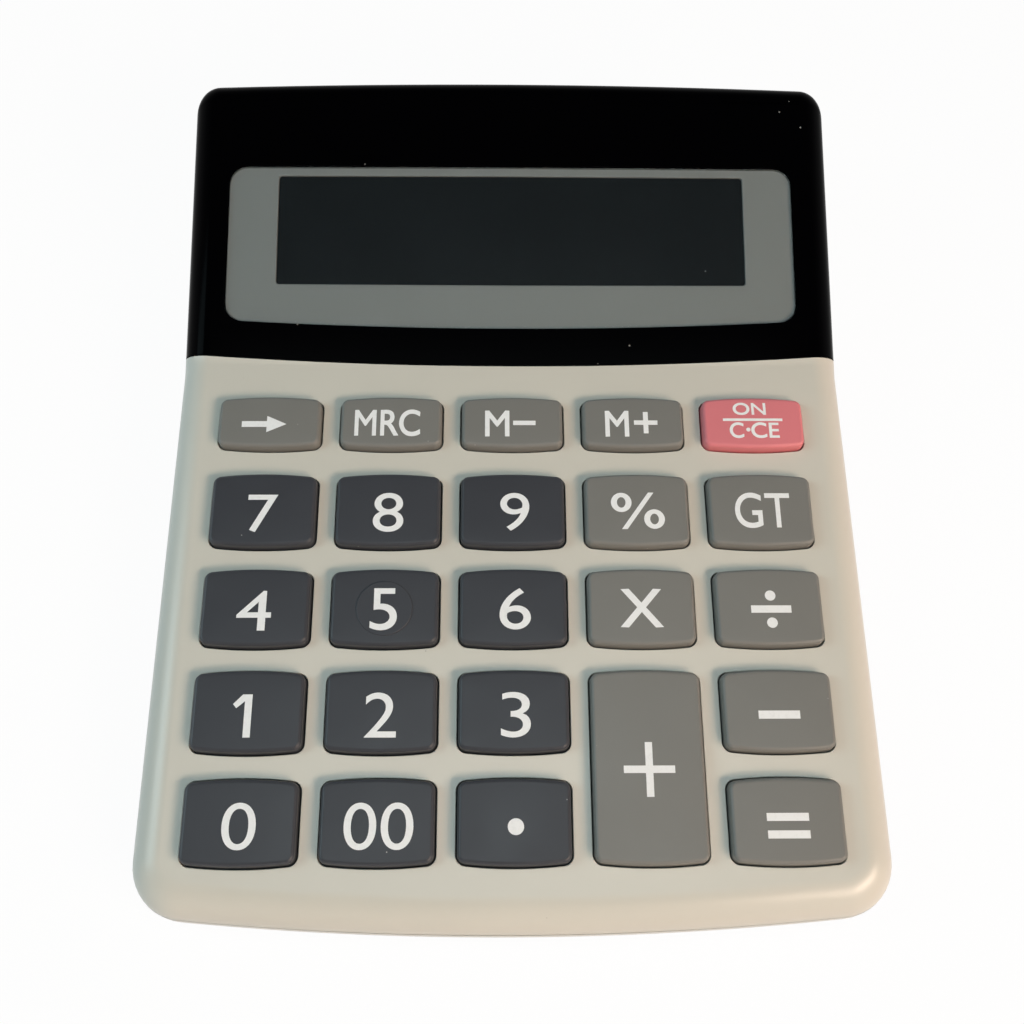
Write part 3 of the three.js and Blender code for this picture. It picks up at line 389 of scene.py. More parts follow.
def circle(radius, x=0.0, y=0.0, sides=32):
    turns = [2 * math.pi * i / sides for i in range(sides)]
    return [(x + radius * math.cos(a), y + radius * math.sin(a)) for a in turns]


def bar(radius, low, high, place, matrix=None):
    """Round bar from one height to another over a place."""
    return prism("bar", circle(radius, place.x, place.y), low, high, matrix)


def least(radius):
    """Radius at which the end faces of a turned body close."""
    return radius / 50


def turned(name, profile, matrix=None, sides=48):
    """Body of revolution about Z from radius and height pairs that run upwards on the outside."""
    return loft(name, [at(circle(radius, sides=sides), height) for radius, height in profile], matrix)


def rounded(radius, steps):
    """Pairs of inset and drop along a quarter round, from its upright side to its level side."""
    angles = [math.pi / 2 * i / steps for i in range(steps + 1)]
    return [(radius * (1 - math.cos(a)), radius * (1 - math.sin(a))) for a in angles]


def top_rings(outline_at, height, edge, steps):
    """Rings up a rounded edge that ends at a height."""
    return [at(outline_at(inset), height - drop) for inset, drop in rounded(edge, steps)]


def foot_rings(outline_at, height, edge, steps):
    """Rings up a rounded edge that starts at a height."""
    return [at(outline_at(inset), height + drop) for inset, drop in reversed(rounded(edge, steps))]


def top_round(radius, height, edge, steps):
    """Radius and height pairs up a rounded edge that ends at a height."""
    return [(radius - inset, height - drop) for inset, drop in rounded(edge, steps)]


def foot_round(radius, height, edge, steps):
    """Radius and height pairs up a rounded edge that starts at a height."""
    return [(radius - inset, height + drop) for inset, drop in reversed(rounded(edge, steps))]


def flared(outline_at, low, high, edge, steps):
    """Rings of a cutter that widens at height 0, so that the edge it leaves there is round."""
    rings = [at(outline_at(0.0), low)]
    for inset, drop in rounded(edge, steps):
        rings.append(at(outline_at(-inset), -drop))
    rings.append(at(outline_at(-edge), high))
    return rings


def take_away(made):
    mesh = made.data
    bpy.data.objects.remove(made)
    bpy.data.meshes.remove(mesh)


def gathered(*pieces):
    """One object from several that don't meet."""
    whole = bmesh.new()
    for piece in pieces:
        whole.from_mesh(piece.data)
        take_away(piece)
    mesh = bpy.data.meshes.new("gathered")
    whole.to_mesh(mesh)
    whole.free()
    return new_object("gathered", mesh)


def combined(base, operation, tools):
    """Joins, cuts or crosses a closed form with others, which are used up."""
    for tool in tools:
        step = base.modifiers.new(operation, "BOOLEAN")
        step.operation = operation
        step.solver = "MANIFOLD"
        step.object = tool
    depsgraph = bpy.context.evaluated_depsgraph_get()
    mesh = bpy.data.meshes.new_from_object(base.evaluated_get(depsgraph), depsgraph=depsgraph)
    if not mesh.polygons:
        raise RuntimeError(f"{base.name}: nothing is left after {operation}")
    base.modifiers.clear()
    old = base.data
    base.data = mesh
    bpy.data.meshes.remove(old)
    for tool in tools:
        take_away(tool)
    return base


def joined(base, *tools):
    return combined(base, "UNION", tools)


def cut(base, *tools):
    return combined(base, "DIFFERENCE", tools)


def crossed(base, *tools):
    return combined(base, "INTERSECT", tools)


def flat_areas(work):
    """Area of the flat region that each face belongs to."""
    areas = [0.0] * len(work.faces)
    found = set()
    for face in work.faces:
        if face in found:
            continue
        found.add(face)
        region = [face]
        for member in region:
            for edge in member.edges:
                for other in edge.link_faces:
                    if other not in found and other.normal.dot(face.normal) > LEVEL:
                        found.add(other)
                        region.append(other)
        area = sum(member.calc_area() for member in region)
        for member in region:
            areas[member.index] = area
    return areas


def shade(made, sharp=math.radians(32), bevel=0.0):
    """Smooth shading that leaves flat regions flat; sharp edges stay crisp or are rounded off."""
    work = bmesh.new()
    work.from_mesh(made.data)
    if bevel:
        edges = [edge for edge in work.edges if edge.calc_face_angle(0.0) > sharp]
        bmesh.ops.bevel(
            work, geom=edges, offset=bevel, offset_type="OFFSET", segments=2, profile=0.5,
            affect="EDGES", clamp_overlap=True,
        )
    bmesh.ops.triangulate(work, faces=work.faces)
    bmesh.ops.dissolve_degenerate(work, edges=work.edges, dist=SAME_PLACE)
    work.normal_update()
    work.faces.index_update()
    areas = flat_areas(work)
    limit = math.cos(sharp)
    normals = []
    for face in work.faces:
        face.smooth = True
        for corner in face.loops:
            total = Vector((0, 0, 0))
            for other in corner.vert.link_faces:
                if other.normal.dot(face.normal) > limit:
                    total += other.normal * areas[other.index]
            normals.append(total.normalized())
    work.to_mesh(made.data)
    work.free()
    made.data.normals_split_custom_set(normals)
    return made


def tube(name, points, radius):
    """Round wire along a list of points."""
    rings = []
    normal = None
    for i, point in enumerate(points):
        run = (points[min(i + 1, len(points) - 1)] - points[max(i - 1, 0)]).normalized()
        if normal is None:
            normal = Vector((run.y, run.z, run.x)).cross(run)
        normal = (normal - run * normal.dot(run)).normalized()
        other = run.cross(normal)
        turns = circle(radius, sides=12)
        rings.append([point + normal * across + other * along for across, along in turns])
    return shade(loft(name, rings), sharp=math.radians(60))


FINISHES = {}


def painted(made, finish):
    made.data.materials.clear()
    made.data.materials.append(FINISHES[finish])


def placed(made, name, body, slot, *nodes, finish=None):
    """Names a piece, gives it its slot's finish and lets it ride, in the place of its nodes."""
    made.name = name
    made.data.name = name
    painted(made, finish or slot)
    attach(made, body)
    if nodes:
        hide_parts(*nodes)
    return made


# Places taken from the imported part


def extent(node, matrix):
    """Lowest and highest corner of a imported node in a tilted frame."""
    back = np.array(matrix.inverted())
    points = np.array([v.co for v in frame["nodes"][node].data.vertices])
    local = points @ back[:3, :3].T + back[:3, 3]
    return Vector(local.min(0)), Vector(local.max(0))


def middle_of(node, matrix=UPRIGHT):
    low, high = extent(node, matrix)
    return (low + high) / 2


def over(place, space=UPRIGHT):
    """Frame moved across and along to a place."""
    return space @ Matrix.Translation((place.x, place.y, 0))


def lying(node, space=UPRIGHT):
    """Frame at a node's left end in which a body that is turned upright lies along X."""
    low, middle = extent(node, space)[0], middle_of(node, space)
    lie = Matrix.Translation((low.x, middle.y, middle.z)) @ Matrix.Rotation(math.pi / 2, 4, "Y")
    return space @ lie


def slope_of(node):
    """Tilt about X of a node's largest upper face."""
    faces = [f for f in frame["nodes"][node].data.polygons if f.normal.z > 0.5]
    normal = max(faces, key=lambda f: f.area).normal
    return math.atan2(-normal.y, normal.z)


def press_axis():
    """Way that the keys move, which is square to the deck."""
    joint = next(j for j in frame["joints"] if j["child"] == KEY_NAMES[0])
    axis = Vector(joint["axis"])
    return axis if axis.z > 0 else -axis


@dataclass
class KeyPlace:
    """Middle of a key on the deck, with its width and depth without the flange"""

    x: float
    y: float
    width: float
    depth: float


class Case:
    """Outer form of the whole case and the frames of its two top faces"""

    def __init__(self, scene):
        self.sizes = scene.calculator_case
        self.display = scene.calculator_display
        self.keys = scene.calculator_keys
        self.details = scene.calculator_base
        low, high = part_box("upper_case")
        self.half = (high.x - low.x) / 2
        self.front = low.y
        self.rear = high.y
        self.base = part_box("lower_case")[0].z
        self.find_frames()
        s = self.sizes
        self.plan = Plan(
            self.half, self.front, self.rear, s.front_bow, s.rear_bow, s.front_corner, s.rear_corner
        )

    def find_frames(self):
        """Frames of the deck and of the head, with their origins on the deck and at the crease."""
        up = press_axis()
        self.deck_slope = math.atan2(-up.y, up.z)
        deck_tilt = Matrix.Rotation(self.deck_slope, 4, "X")
        low, high = extent("key_0", deck_tilt)
        start = Vector((0, (low.y + high.y) / 2, high.z - self.keys.packed_height))
        self.deck = deck_tilt @ Matrix.Translation(start)
        self.head_slope = slope_of("display_window")
        head_tilt = Matrix.Rotation(self.head_slope, 4, "X")
        level = extent("display_window", head_tilt)[1].z + self.display.pane_sink
        face = head_tilt @ Vector((0, 0, level))
        origin = self.deck.translation
        deck_rise, head_rise = math.tan(self.deck_slope), math.tan(self.head_slope)
        apart = face.z - origin.z - (face.y - origin.y) * head_rise
        run = apart / (deck_rise - head_rise)
        self.crease = origin + Vector((0, run, run * deck_rise))
        self.head = Matrix.Translation(self.crease) @ head_tilt

    def upper_face(self, y, inset):
        """Height of the top at a place along Y, drawn in by a distance."""
        faces = []
        for slope in (self.deck_slope, self.head_slope):
            faces.append(self.crease.z + (y - self.crease.y) * math.tan(slope) - inset / math.cos(slope))
        return max(faces)

    def crease_of(self, inset):
        shift = 1 / math.cos(self.head_slope) - 1 / math.cos(self.deck_slope)
        return self.crease.y + inset * shift / (math.tan(self.head_slope) - math.tan(self.deck_slope))

    def form(self, inset=0.0, start=None, steps=12):
        """Closed form of the case; with a start height only the part above it, its edge rounded."""
        crease = [self.crease_of(inset)]
        lowest, bottom = self.base + inset, max(self.sizes.bottom_edge - inset, LEAST_RADIUS)
        if start is not None:
            lowest, bottom = start, self.sizes.seam_edge

        def drawn_in(more):
            return self.plan.outline(inset + more, crease)

        rings = foot_rings(drawn_in, lowest, bottom, steps // 2)
        top = max(self.sizes.top_edge - inset, LEAST_RADIUS)
        for more, drop in rounded(top, steps):
            rings.append([(x, y, self.upper_face(y, inset) - drop) for x, y in drawn_in(more)])
        count = len(rings[0])
        right = self.plan.front_steps + self.plan.corner_steps
        left = right + 2 * (self.plan.corner_steps + 1) + self.plan.rear_steps
        head = list(range(right, left + 1))
        deck = list(range(left, count)) + list(range(right + 1))
        return loft("case form", rings, top_parts=[deck, head])

    def tray_form(self, stop):
        """Closed form of the case below a height, its edge rounded."""
        rings = foot_rings(self.plan.outline, self.base, self.sizes.bottom_edge, 6)
        rings += top_rings(self.plan.outline, stop, self.sizes.seam_edge, 3)
        return loft("tray form", rings)

    def lip_space(self, outer, inner, low, high):
        """Ring inside the wall where the two halves overlap."""
        ring = prism("lip", self.plan.outline(outer), low, high)
        return cut(ring, prism("lip room", self.plan.outline(inner), low - WELD, high + WELD))

    def cover_space(self, gap):
        """Space over the head that the cover takes."""
        s = self.sizes
        plan = Plan(
            self.half + OVERRUN, -gap, self.rear - self.front, s.cover_bow + gap, s.rear_bow,
            LEAST_RADIUS, LEAST_RADIUS, rear_steps=1, corner_steps=1,
        )
        low, high = -(s.cover_skirt + gap), s.top_edge + OVERRUN
        return prism("cover space", plan.outline(), low, high, self.head)

    def window_plan(self):
        low, high = extent("display_window", self.head)
        gap = self.sizes.cover_gap
        d = self.display
        return Plan(
            high.x + gap, low.y - gap, high.y + gap, d.window_front_bow,
            d.window_rear_bow, d.window_corner, d.window_corner, rear_steps=4,
        )

    def view_plan(self):
        window = self.window_plan()
        d = self.display
        return Plan(
            window.half - d.view_side, window.front + d.view_front, window.rear - d.view_rear,
            d.window_rear_bow, d.window_rear_bow, d.view_corner, d.view_corner,
            front_steps=2, rear_steps=2, corner_steps=6,
        )

    def bezel_top(self):
        return extent("display_window", self.head)[1].z - self.display.pane - self.display.pane_gap

    def key_place(self, name):
        low, high = extent(name, self.deck)
        middle = (low + high) / 2
        rim = 2 * self.keys.rim
        return KeyPlace(middle.x, middle.y, high.x - low.x - rim, high.y - low.y - rim)

    def key_plan(self, place):
        k = self.keys
        return Plan(
            place.width / 2, -place.depth / 2, place.depth / 2, k.bow, k.bow, k.corner, k.corner,
            front_steps=12, rear_steps=12, corner_steps=8,
        )

    def boss_top(self):
        """Height of the lower bosses, which the case screws clamp."""
        b = self.details
        head_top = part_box(CASE_SCREWS[0])[0].z + b.screw_head_height
        return head_top + SEAT + b.screw_grip


# Case


def key_hole(case, name):
    """Cutter for a key's hole, whose edge it leaves round."""
    place = case.key_place(name)
    plan = case.key_plan(place)
    gap, edge = case.keys.hole_gap, case.keys.hole_edge
    rings = flared(lambda inset: plan.outline(inset - gap), -case.sizes.wall - WELD, WELD, edge, 6)
    return loft("key hole", rings, over(place, case.deck))


def guide_ribs(case):
    """Ribs under the deck between the keys; the tall key has its own room among them."""
    s, k = case.sizes, case.keys
    low, high = extent("keypad_membrane", case.deck)[0].z + k.sheet + SEAT, WELD - s.wall
    half = s.rib / 2
    row = [case.key_place(name) for name in ONE_ROW]
    column = [case.key_place(name) for name in ONE_COLUMN]
    side = row[-1].x + row[-1].width / 2 + k.rim
    front = column[0].y - column[0].depth / 2 - k.rim
    rear = column[-1].y + column[-1].depth / 2 + k.rim
    ribs = []
    for near, far in zip(row, row[1:]):
        x = (near.x + far.x) / 2
        ribs.append(block(x - half, x + half, front, rear, low, high))
    for near, far in zip(column, column[1:]):
        y = (near.y + near.depth / 2 + far.y - far.depth / 2) / 2
        ribs.append(block(-side, side, y - half, y + half, low, high))
    tall = case.key_place("key_plus")
    across, along = tall.width / 2 + k.rim + SEAT, tall.depth / 2 + k.rim - WELD
    room = block(tall.x - across, tall.x + across, tall.y - along, tall.y + along, low - WELD, -s.wall)
    grid = cut(joined(*ribs), room)
    grid.data.transform(case.deck)
    return grid


def upper_bosses(case):
    """Bosses of the case screws and of the board screws, kept inside the shell."""
    s = case.sizes
    low = case.boss_top() + SEAT
    head_middle = s.wall + s.cover_gap + s.head_wall / 2
    bosses = []
    for node in CASE_SCREWS:
        place = middle_of(node)
        boss = bar(s.boss, low, case.crease.z + OVERRUN, place)
        inset = s.wall / 2 if place.y < case.crease.y else head_middle
        bosses.append(crossed(boss, case.form(inset, steps=4)))
    board_top = extent("circuit_board", case.deck)[1].z
    for node in BOARD_SCREWS:
        place = middle_of(node, case.deck)
        bosses.append(bar(s.board_boss, board_top + SEAT, WELD - s.wall, place, case.deck))
    return bosses


def pilot_holes(case):
    """Holes that the screws cut their threads in."""
    b = case.details
    holes = []
    for node in CASE_SCREWS:
        holes.append(bar(b.screw_shank, 0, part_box(node)[1].z + SEAT, middle_of(node)))
    for node in BOARD_SCREWS:
        high = extent(node, case.deck)[1].z + SEAT
        place = middle_of(node, case.deck)
        holes.append(bar(b.board_shank, high - OVERRUN, high, place, case.deck))
    return gathered(*holes)


def bezel_sink(case):
    """Cutters for the seat of the bezel's rim and for the well under the display glass."""
    d = case.display
    window = case.window_plan()
    seat = -(case.sizes.wall + d.bezel_plate + 2 * SEAT)
    low, high = extent("lcd_panel", case.head)
    wall = d.bezel_skirt + 2 * SEAT
    return [
        prism("sink", window.outline(-d.bezel_rim - SEAT), seat, OVERRUN, case.head),
        block(*around(low, high, wall), -OVERRUN, OVERRUN, case.head),
    ]


def make_upper_case(case):
    """Shell with the room under it, the cover's seat, the key holes, ribs and bosses."""
    s = case.sizes
    shell = case.form(start=s.parting + s.seam / 2)
    head_inset = s.wall + s.cover_gap + s.head_wall
    beside, shelf = case.half + OVERRUN, -(s.cover_skirt + s.cover_gap + s.wall)
    head_room = block(-beside, beside, -s.head_lead, case.rear - case.front, shelf, OVERRUN, case.head)
    room = joined(cut(case.form(s.wall, steps=4), head_room), case.form(head_inset, steps=4))
    pocket = cut(case.cover_space(s.cover_gap), case.form(s.wall + s.cover_gap))
    shell = cut(shell, room, pocket)
    shell = joined(shell, guide_ribs(case), *upper_bosses(case))
    lip = case.lip_space(s.lip_inset - SEAT, s.wall + SEAT, 0, s.parting + s.lip_height + SEAT)
    holes = gathered(*[key_hole(case, name) for name in KEY_NAMES])
    return shade(cut(shell, lip, holes, pilot_holes(case), *bezel_sink(case)))


def floor_rib(case, x):
    """Upright rib whose top follows the under side of the board."""
    s = case.sizes
    half = s.floor_rib / 2
    start = case.front + s.floor_rib_front
    rib = block(
        x - half, x + half, start, start + s.floor_rib_length, case.base + s.wall - WELD, case.crease.z
    )
    under = extent("circuit_board", case.deck)[0].z - SEAT
    reach = case.rear - case.front
    return cut(rib, block(x - s.floor_rib, x + s.floor_rib, -reach, reach, under, OVERRUN, case.deck))


def bay_cutters(case, bay, front, groove_low, groove_high):
    """Ways through the floor: the door, its tongues, the screws and the feet."""
    s, b = case.sizes, case.details
    reach = bay + b.tongue + SEAT
    ways = [
        block(-bay, bay, front, case.rear + OVERRUN, case.base - WELD, s.parting),
        block(-reach, reach, front, case.rear + OVERRUN, groove_low, groove_high),
    ]
    head_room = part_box(CASE_SCREWS[0])[0].z + b.screw_head_height + SEAT
    wide, narrow = b.screw_head + SEAT, b.screw_shank + SEAT
    profile = [(wide, 0), (wide, head_room), (narrow, head_room), (narrow, case.boss_top() + WELD)]
    for node in CASE_SCREWS:
        ways.append(turned("screw way", profile, over(middle_of(node))))
    for node in FEET:
        low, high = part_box(node)
        ways.append(bar((high.x - low.x) / 2 + SEAT, 0, high.z + SEAT, middle_of(node)))
    return ways


def make_lower_case(case):
    """Tray with its lip, bosses, board ribs, battery bay and the rails of the door."""
    s, b = case.sizes, case.details
    stop = s.parting - s.seam / 2
    floor = case.base + s.wall
    tray = cut(case.tray_form(stop), case.form(s.wall, steps=4))
    tray = joined(tray, case.lip_space(s.lip_inset, s.wall, s.parting - WELD, s.parting + s.lip_height))
    for node in CASE_SCREWS:
        boss = bar(s.boss + s.boss_collar, floor - WELD, case.boss_top(), middle_of(node))
        tray = joined(tray, crossed(boss, case.form(s.wall / 2, steps=4)))

    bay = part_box(DOOR)[1].x + SEAT - b.tongue
    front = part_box(DOOR)[0].y - SEAT
    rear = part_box("battery_cell")[1].y + b.cell_gap
    groove_low, groove_high = floor - b.tongue_thickness - SEAT, floor + SEAT
    rail_end = bay + b.tongue + SEAT + b.bay_wall
    for side in (-1, 1):
        ends = sorted((side * bay, side * rail_end))
        rail = block(*ends, front - b.bay_wall, case.rear - s.wall, floor - WELD, groove_high + s.wall / 2)
        tray = joined(tray, rail)
    tray = cut(tray, *bay_cutters(case, bay, front, groove_low, groove_high))

    top = floor + b.bay_height
    outside = bay + b.bay_wall
    walls = block(-outside, outside, front - b.bay_wall, rear + b.bay_wall, groove_high, top)
    walls = joined(walls, block(-bay, bay, front - b.bay_wall, front, floor - WELD, top))
    walls = cut(walls, block(-bay, bay, front, rear, case.base, top + WELD))
    ribs = [floor_rib(case, side * s.floor_rib_across) for side in (-1, 1)]
    return shade(joined(tray, walls, *ribs))


# Display


def make_display_cover(case):
    """Black cover, rolled over the head's sides, with the window's opening."""
    s = case.sizes
    cover = crossed(case.form(), case.cover_space(0.0))
    opening = prism("opening", case.window_plan().outline(), -OVERRUN, OVERRUN, case.head)
    return shade(cut(cover, case.form(s.wall), opening), sharp=math.radians(40), bevel=s.cover_edge)


def make_window(case):
    high = extent("display_window", case.head)[1]
    plan = case.window_plan()
    gap = case.sizes.cover_gap
    rings = [at(plan.outline(gap), high.z - case.display.pane)]
    rings += top_rings(lambda inset: plan.outline(gap + inset), high.z, case.display.window_edge, 3)
    return shade(loft("window", rings, case.head))


def make_bezel(case):
    """Grey plate under the window with the display's opening, its rim and its skirt."""
    s, d = case.sizes, case.display
    low = extent("lcd_bezel", case.head)[0]
    top = case.bezel_top()
    glass_low, glass_high = extent("lcd_panel", case.head)
    window, view = case.window_plan(), case.view_plan()
    rim_top = -(s.wall + SEAT)
    rim_low = rim_top - d.bezel_plate

    def round_glass(reach, bottom, top):
        return block(*around(glass_low, glass_high, reach), bottom, top, case.head)

    body = joined(
        prism("bezel", window.outline(s.cover_gap), rim_low, top, case.head),
        prism("rim", window.outline(-d.bezel_rim), rim_low, rim_top, case.head),
        round_glass(d.bezel_skirt + SEAT, low.z, rim_low + WELD),
    )
    rings = flared(view.outline, low.z - OVERRUN - top, WELD, d.view_edge, 4)
    opening = loft("view", rings, case.head @ Matrix.Translation((0, 0, top)))
    return shade(cut(body, round_glass(SEAT, low.z - OVERRUN, glass_high.z + SEAT), opening))


def glass_plate(case, sides, z0, z1):
    """Thin plate with a small chamfer round its upper and lower faces."""
    edge = case.display.glass_edge
    levels = ((edge, z0), (0, z0 + edge), (0, z1 - edge), (edge, z1))
    rings = [at(corners(*sides, inset), height) for inset, height in levels]
    return shade(loft("glass", rings, case.head), sharp=math.radians(20))


def make_display_stack(case):
    """The two glasses of the display and the dark film on them, which fills the bezel's opening."""
    d = case.display
    low, high = extent("lcd_panel", case.head)
    film = high.z - d.polarizer
    middle = (low.z + film) / 2
    ledge = low.y + d.glass_ledge
    lower = glass_plate(case, (low.x, high.x, low.y, high.y), low.z, middle)
    upper = glass_plate(case, (low.x, high.x, ledge, high.y), middle, film)
    outline = corners(low.x, high.x, ledge, high.y, d.glass_ledge / 3)
    cover = prism("film", outline, film, high.z, case.head)
    view = case.view_plan().outline(d.pane_gap)
    raised = prism("film", view, film, case.bezel_top() - d.view_sink, case.head)
    return gathered(lower, upper), shade(joined(cover, raised))


# Base


def make_door(case):
    """Door with its rear lip, its tongues and the grooves for a finger."""
    s, b = case.sizes, case.details
    low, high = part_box(DOOR)
    side = high.x - b.tongue
    plate_top = case.base + s.wall
    plate = block(-side, side, low.y, case.rear + OVERRUN, 0, plate_top)
    lip = block(-side, side, middle_of("battery_cell").y, case.rear + OVERRUN, 0, high.z)
    lip = cut(lip, case.form(s.wall, steps=4))
    tongue_low = plate_top - b.tongue_thickness
    tongue = block(low.x, high.x, low.y, case.rear - s.wall, tongue_low, plate_top)
    door = crossed(joined(plate, lip, tongue), case.form())
    half, lean = b.grip_length / 2, b.grip_width / 4
    grips = []
    for i in range(b.grip_count):
        y = low.y + b.grip_inset + i * b.grip_pitch

        def slot(inset, height):
            return at(corners(-half, half, y, y + b.grip_width, inset), height)

        rings = [slot(-lean, case.base - WELD), slot(0, case.base), slot(lean, case.base + b.grip_depth)]
        grips.append(loft("grip", rings))
    return shade(cut(door, gathered(*grips)), bevel=b.door_edge)


def make_foot(case, node):
    """Rubber foot with a rounded edge and a shallow dish in its sole."""
    low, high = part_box(node)
    radius = (high.x - low.x) / 2
    edge = (case.base - low.z) / 2
    dish, depth, hub = radius / 2, edge / 4, least(radius)
    profile = [(hub, low.z + depth), (dish - depth, low.z + depth), (dish, low.z)]
    profile += foot_round(radius, low.z, edge, 5) + [(radius, high.z), (hub, high.z)]
    return shade(turned("foot", profile, over(middle_of(node))))


# Thread's root as a share of the shank, and the cross recess as shares of the head
THREAD_ROOT = 0.8
RECESS_REACH = 0.62
RECESS_HALF = 0.13
RECESS_DEPTH = 0.6
HEAD_TURNS = (8, 25, 40, 55, 70, 82, 90)  # degrees along the head's dome


def make_screw(node, space, head_height, shank, pitch):
    """Screw that points up in its space, with a domed head, a cross recess and a thread."""
    low, high = extent(node, space)
    head = (high.x - low.x) / 2
    under = low.z + head_height
    hub, root = least(head), shank * THREAD_ROOT
    profile = [(hub, low.z)]
    for angle in (math.radians(turn) for turn in HEAD_TURNS):
        profile.append((head * math.sin(angle), under - head_height * math.cos(angle)))
    profile.append((shank, under))
    for i in range(int((high.z - under - shank) / pitch)):
        z = under + (i + 0.5) * pitch
        profile += [(root, z - pitch / 4), (shank, z + pitch / 4)]
    profile += [(root, high.z - shank), (hub, high.z)]
    move = over(middle_of(node, space), space)
    arm, half, deep = head * RECESS_REACH, head * RECESS_HALF, low.z + head_height * RECESS_DEPTH
    recess = joined(
        block(-arm, arm, -half, half, low.z - WELD, deep, move),
        block(-half, half, -arm, arm, low.z - WELD, deep, move),
    )
    return shade(cut(turned("screw", profile, move), recess))


# Power


# Share of the cell's edge that the jacket leaves bare at each end
JACKET_START = 0.7


def make_cell(case):
    """Steel can and jacket of the cell, which lies along X with its button to the right."""
    b = case.details
    low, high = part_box("battery_cell")
    radius, whole = (high.z - low.z) / 2, high.x - low.x
    can, inner, hub = whole - b.button_height, radius - b.cell_skin, least(radius)
    steel = [(hub, 0), (radius - 2 * b.cell_edge, 0)]
    steel += foot_round(inner, 0, b.cell_edge, 4) + top_round(inner, can, b.cell_edge, 4)
    steel += [(b.button + b.cell_edge, can), (b.button, can + b.cell_edge / 2)]
    steel += top_round(b.button, whole, b.cell_edge / 2, 3) + [(hub, whole)]
    start, fold, skin = b.cell_edge * JACKET_START, b.cell_edge / 3, inner - WELD / 4
    jacket = [(skin, start), *foot_round(radius, start, fold, 3)]
    jacket += [*top_round(radius, can - start, fold, 3), (skin, can - start)]
    return [shade(turned("cell", profile, lying("battery_cell"), 64)) for profile in (steel, jacket)]


def make_spring(case):
    """Conical contact spring about X, its wide end at the wall, its leg over the wall."""
    b = case.details
    low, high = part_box("battery_spring")
    wire = 2 * b.spring_wire
    centre = middle_of("battery_cell")
    tip, wall = high.x - b.spring_wire, low.x + b.spring_leg + wire
    leg_height = centre.z + b.spring_wide
    points = [Vector((x, centre.y, leg_height)) for x in (low.x, wall - wire)]
    steps = b.spring_turns * 32
    for i in range(steps + 1):
        share = i / steps
        angle = 2 * math.pi * b.spring_turns * share
        radius = b.spring_wide + (b.spring_narrow - b.spring_wide) * share
        along = wall + (tip - wall) * share
        turn = Vector((along, centre.y + radius * math.sin(angle), centre.z + radius * math.cos(angle)))
        points.append(turn)
    return tube("spring", points, b.spring_wire)


# Circuit board and rubber domes


def make_chip_cover(case):
    """Drop of black epoxy that hangs under the board."""
    low, high = extent("chip_cover", case.deck)
    radius, height = (high.x - low.x) / 2, high.z - low.z
    profile = [(least(radius), low.z)]
    steps = 12
    for i in range(1, steps + 1):
        angle = math.pi / 2 * i / steps
        profile.append((radius * math.sin(angle), high.z - height * math.cos(angle) ** 1.4))
    return shade(turned("drop", profile, over(middle_of("chip_cover", case.deck), case.deck)))


def make_capacitor(case):
    """Sleeved can that lies along X under the board, with a groove near its rubber end."""
    low, high = extent("capacitor", case.deck)
    radius, whole = (high.z - low.z) / 2, high.x - low.x
    edge, hub = radius / 6, least(radius)
    profile = [(hub, 0), (radius - 2 * edge, 0)]
    profile += foot_round(radius, 0, edge, 4)
    groove = whole / 6
    profile += [(radius, groove), (radius - edge, groove + edge), (radius, groove + 2 * edge)]
    profile += top_round(radius, whole, edge, 4)
    profile += [(radius - 2 * edge, whole), (radius - 2 * edge, whole - edge / 2), (hub, whole - edge / 2)]
    return shade(turned("can", profile, lying("capacitor", case.deck)))


def make_sheet(case):
    """Rubber sheet that the domes stand on."""
    low, high = extent("keypad_membrane", case.deck)
    k = case.keys
    straight = case.display.window_rear_bow
    plan = Plan(
        high.x, low.y, high.y, straight, straight, k.corner, k.corner, front_steps=2, rear_steps=2
    )
    rings = [at(plan.outline(), low.z), *top_rings(plan.outline, low.z + k.sheet, k.sheet / 3, 3)]
    return shade(loft("sheet", rings, case.deck))


DOME_STEPS = 9


def make_dome(case, place):
    """Rubber dome with a soft waist and a flat button under the key's plunger."""
    low, high = extent("keypad_membrane", case.deck)
    k = case.keys
    foot = low.z + k.sheet
    rise, edge = high.z - foot, (high.z - foot) / 12
    profile = []
    for i in range(DOME_STEPS):
        share = i / DOME_STEPS
        waist = (3 * share**2 - 2 * share**3) ** 0.7
        profile.append((k.dome_base + (k.dome_top - k.dome_base) * waist, foot + rise * share))
    profile += [(k.dome_top, high.z - edge), (k.dome_top - edge, high.z), (least(k.dome_top), high.z)]
    return shade(turned("dome", profile, over(place, case.deck), 32))


# Keys


# Rings of a key's crowned top, as shares of the outline inside its rounded edge
CROWN_SHARES = (0.8, 0.6, 0.4, 0.2, 0.05)


def crown_drop(case, x, y, place):
    """How far a key's top lies below its middle at a point of it."""
    share = ((2 * x / place.width) ** 2 + (2 * y / place.depth) ** 2) / 2
    return case.keys.crown * share


def key_cap(case, name):
    """Key with its flange, leaning walls, rounded edge and crowned top."""
    k = case.keys
    place = case.key_place(name)
    plan = case.key_plan(place)
    flange_top = -(case.sizes.wall + SEAT)
    rings = [at(plan.outline(-k.rim), flange_top - k.flange), at(plan.outline(-k.rim), flange_top)]
    rings += [at(plan.outline(), flange_top), at(plan.outline(), 0)]

    def top_ring(outline, drop=0.0):
        return [(x, y, k.height - crown_drop(case, x, y, place) - drop) for x, y in outline]

    for drawn, drop in rounded(k.edge, 8):
        rings.append(top_ring(plan.outline(k.draft + drawn), drop))
    last = plan.outline(k.draft + k.edge)
    for share in CROWN_SHARES:
        rings.append(top_ring([(x * share, y * share) for x, y in last]))
    return shade(loft(name, rings, over(place, case.deck)), sharp=math.radians(40))


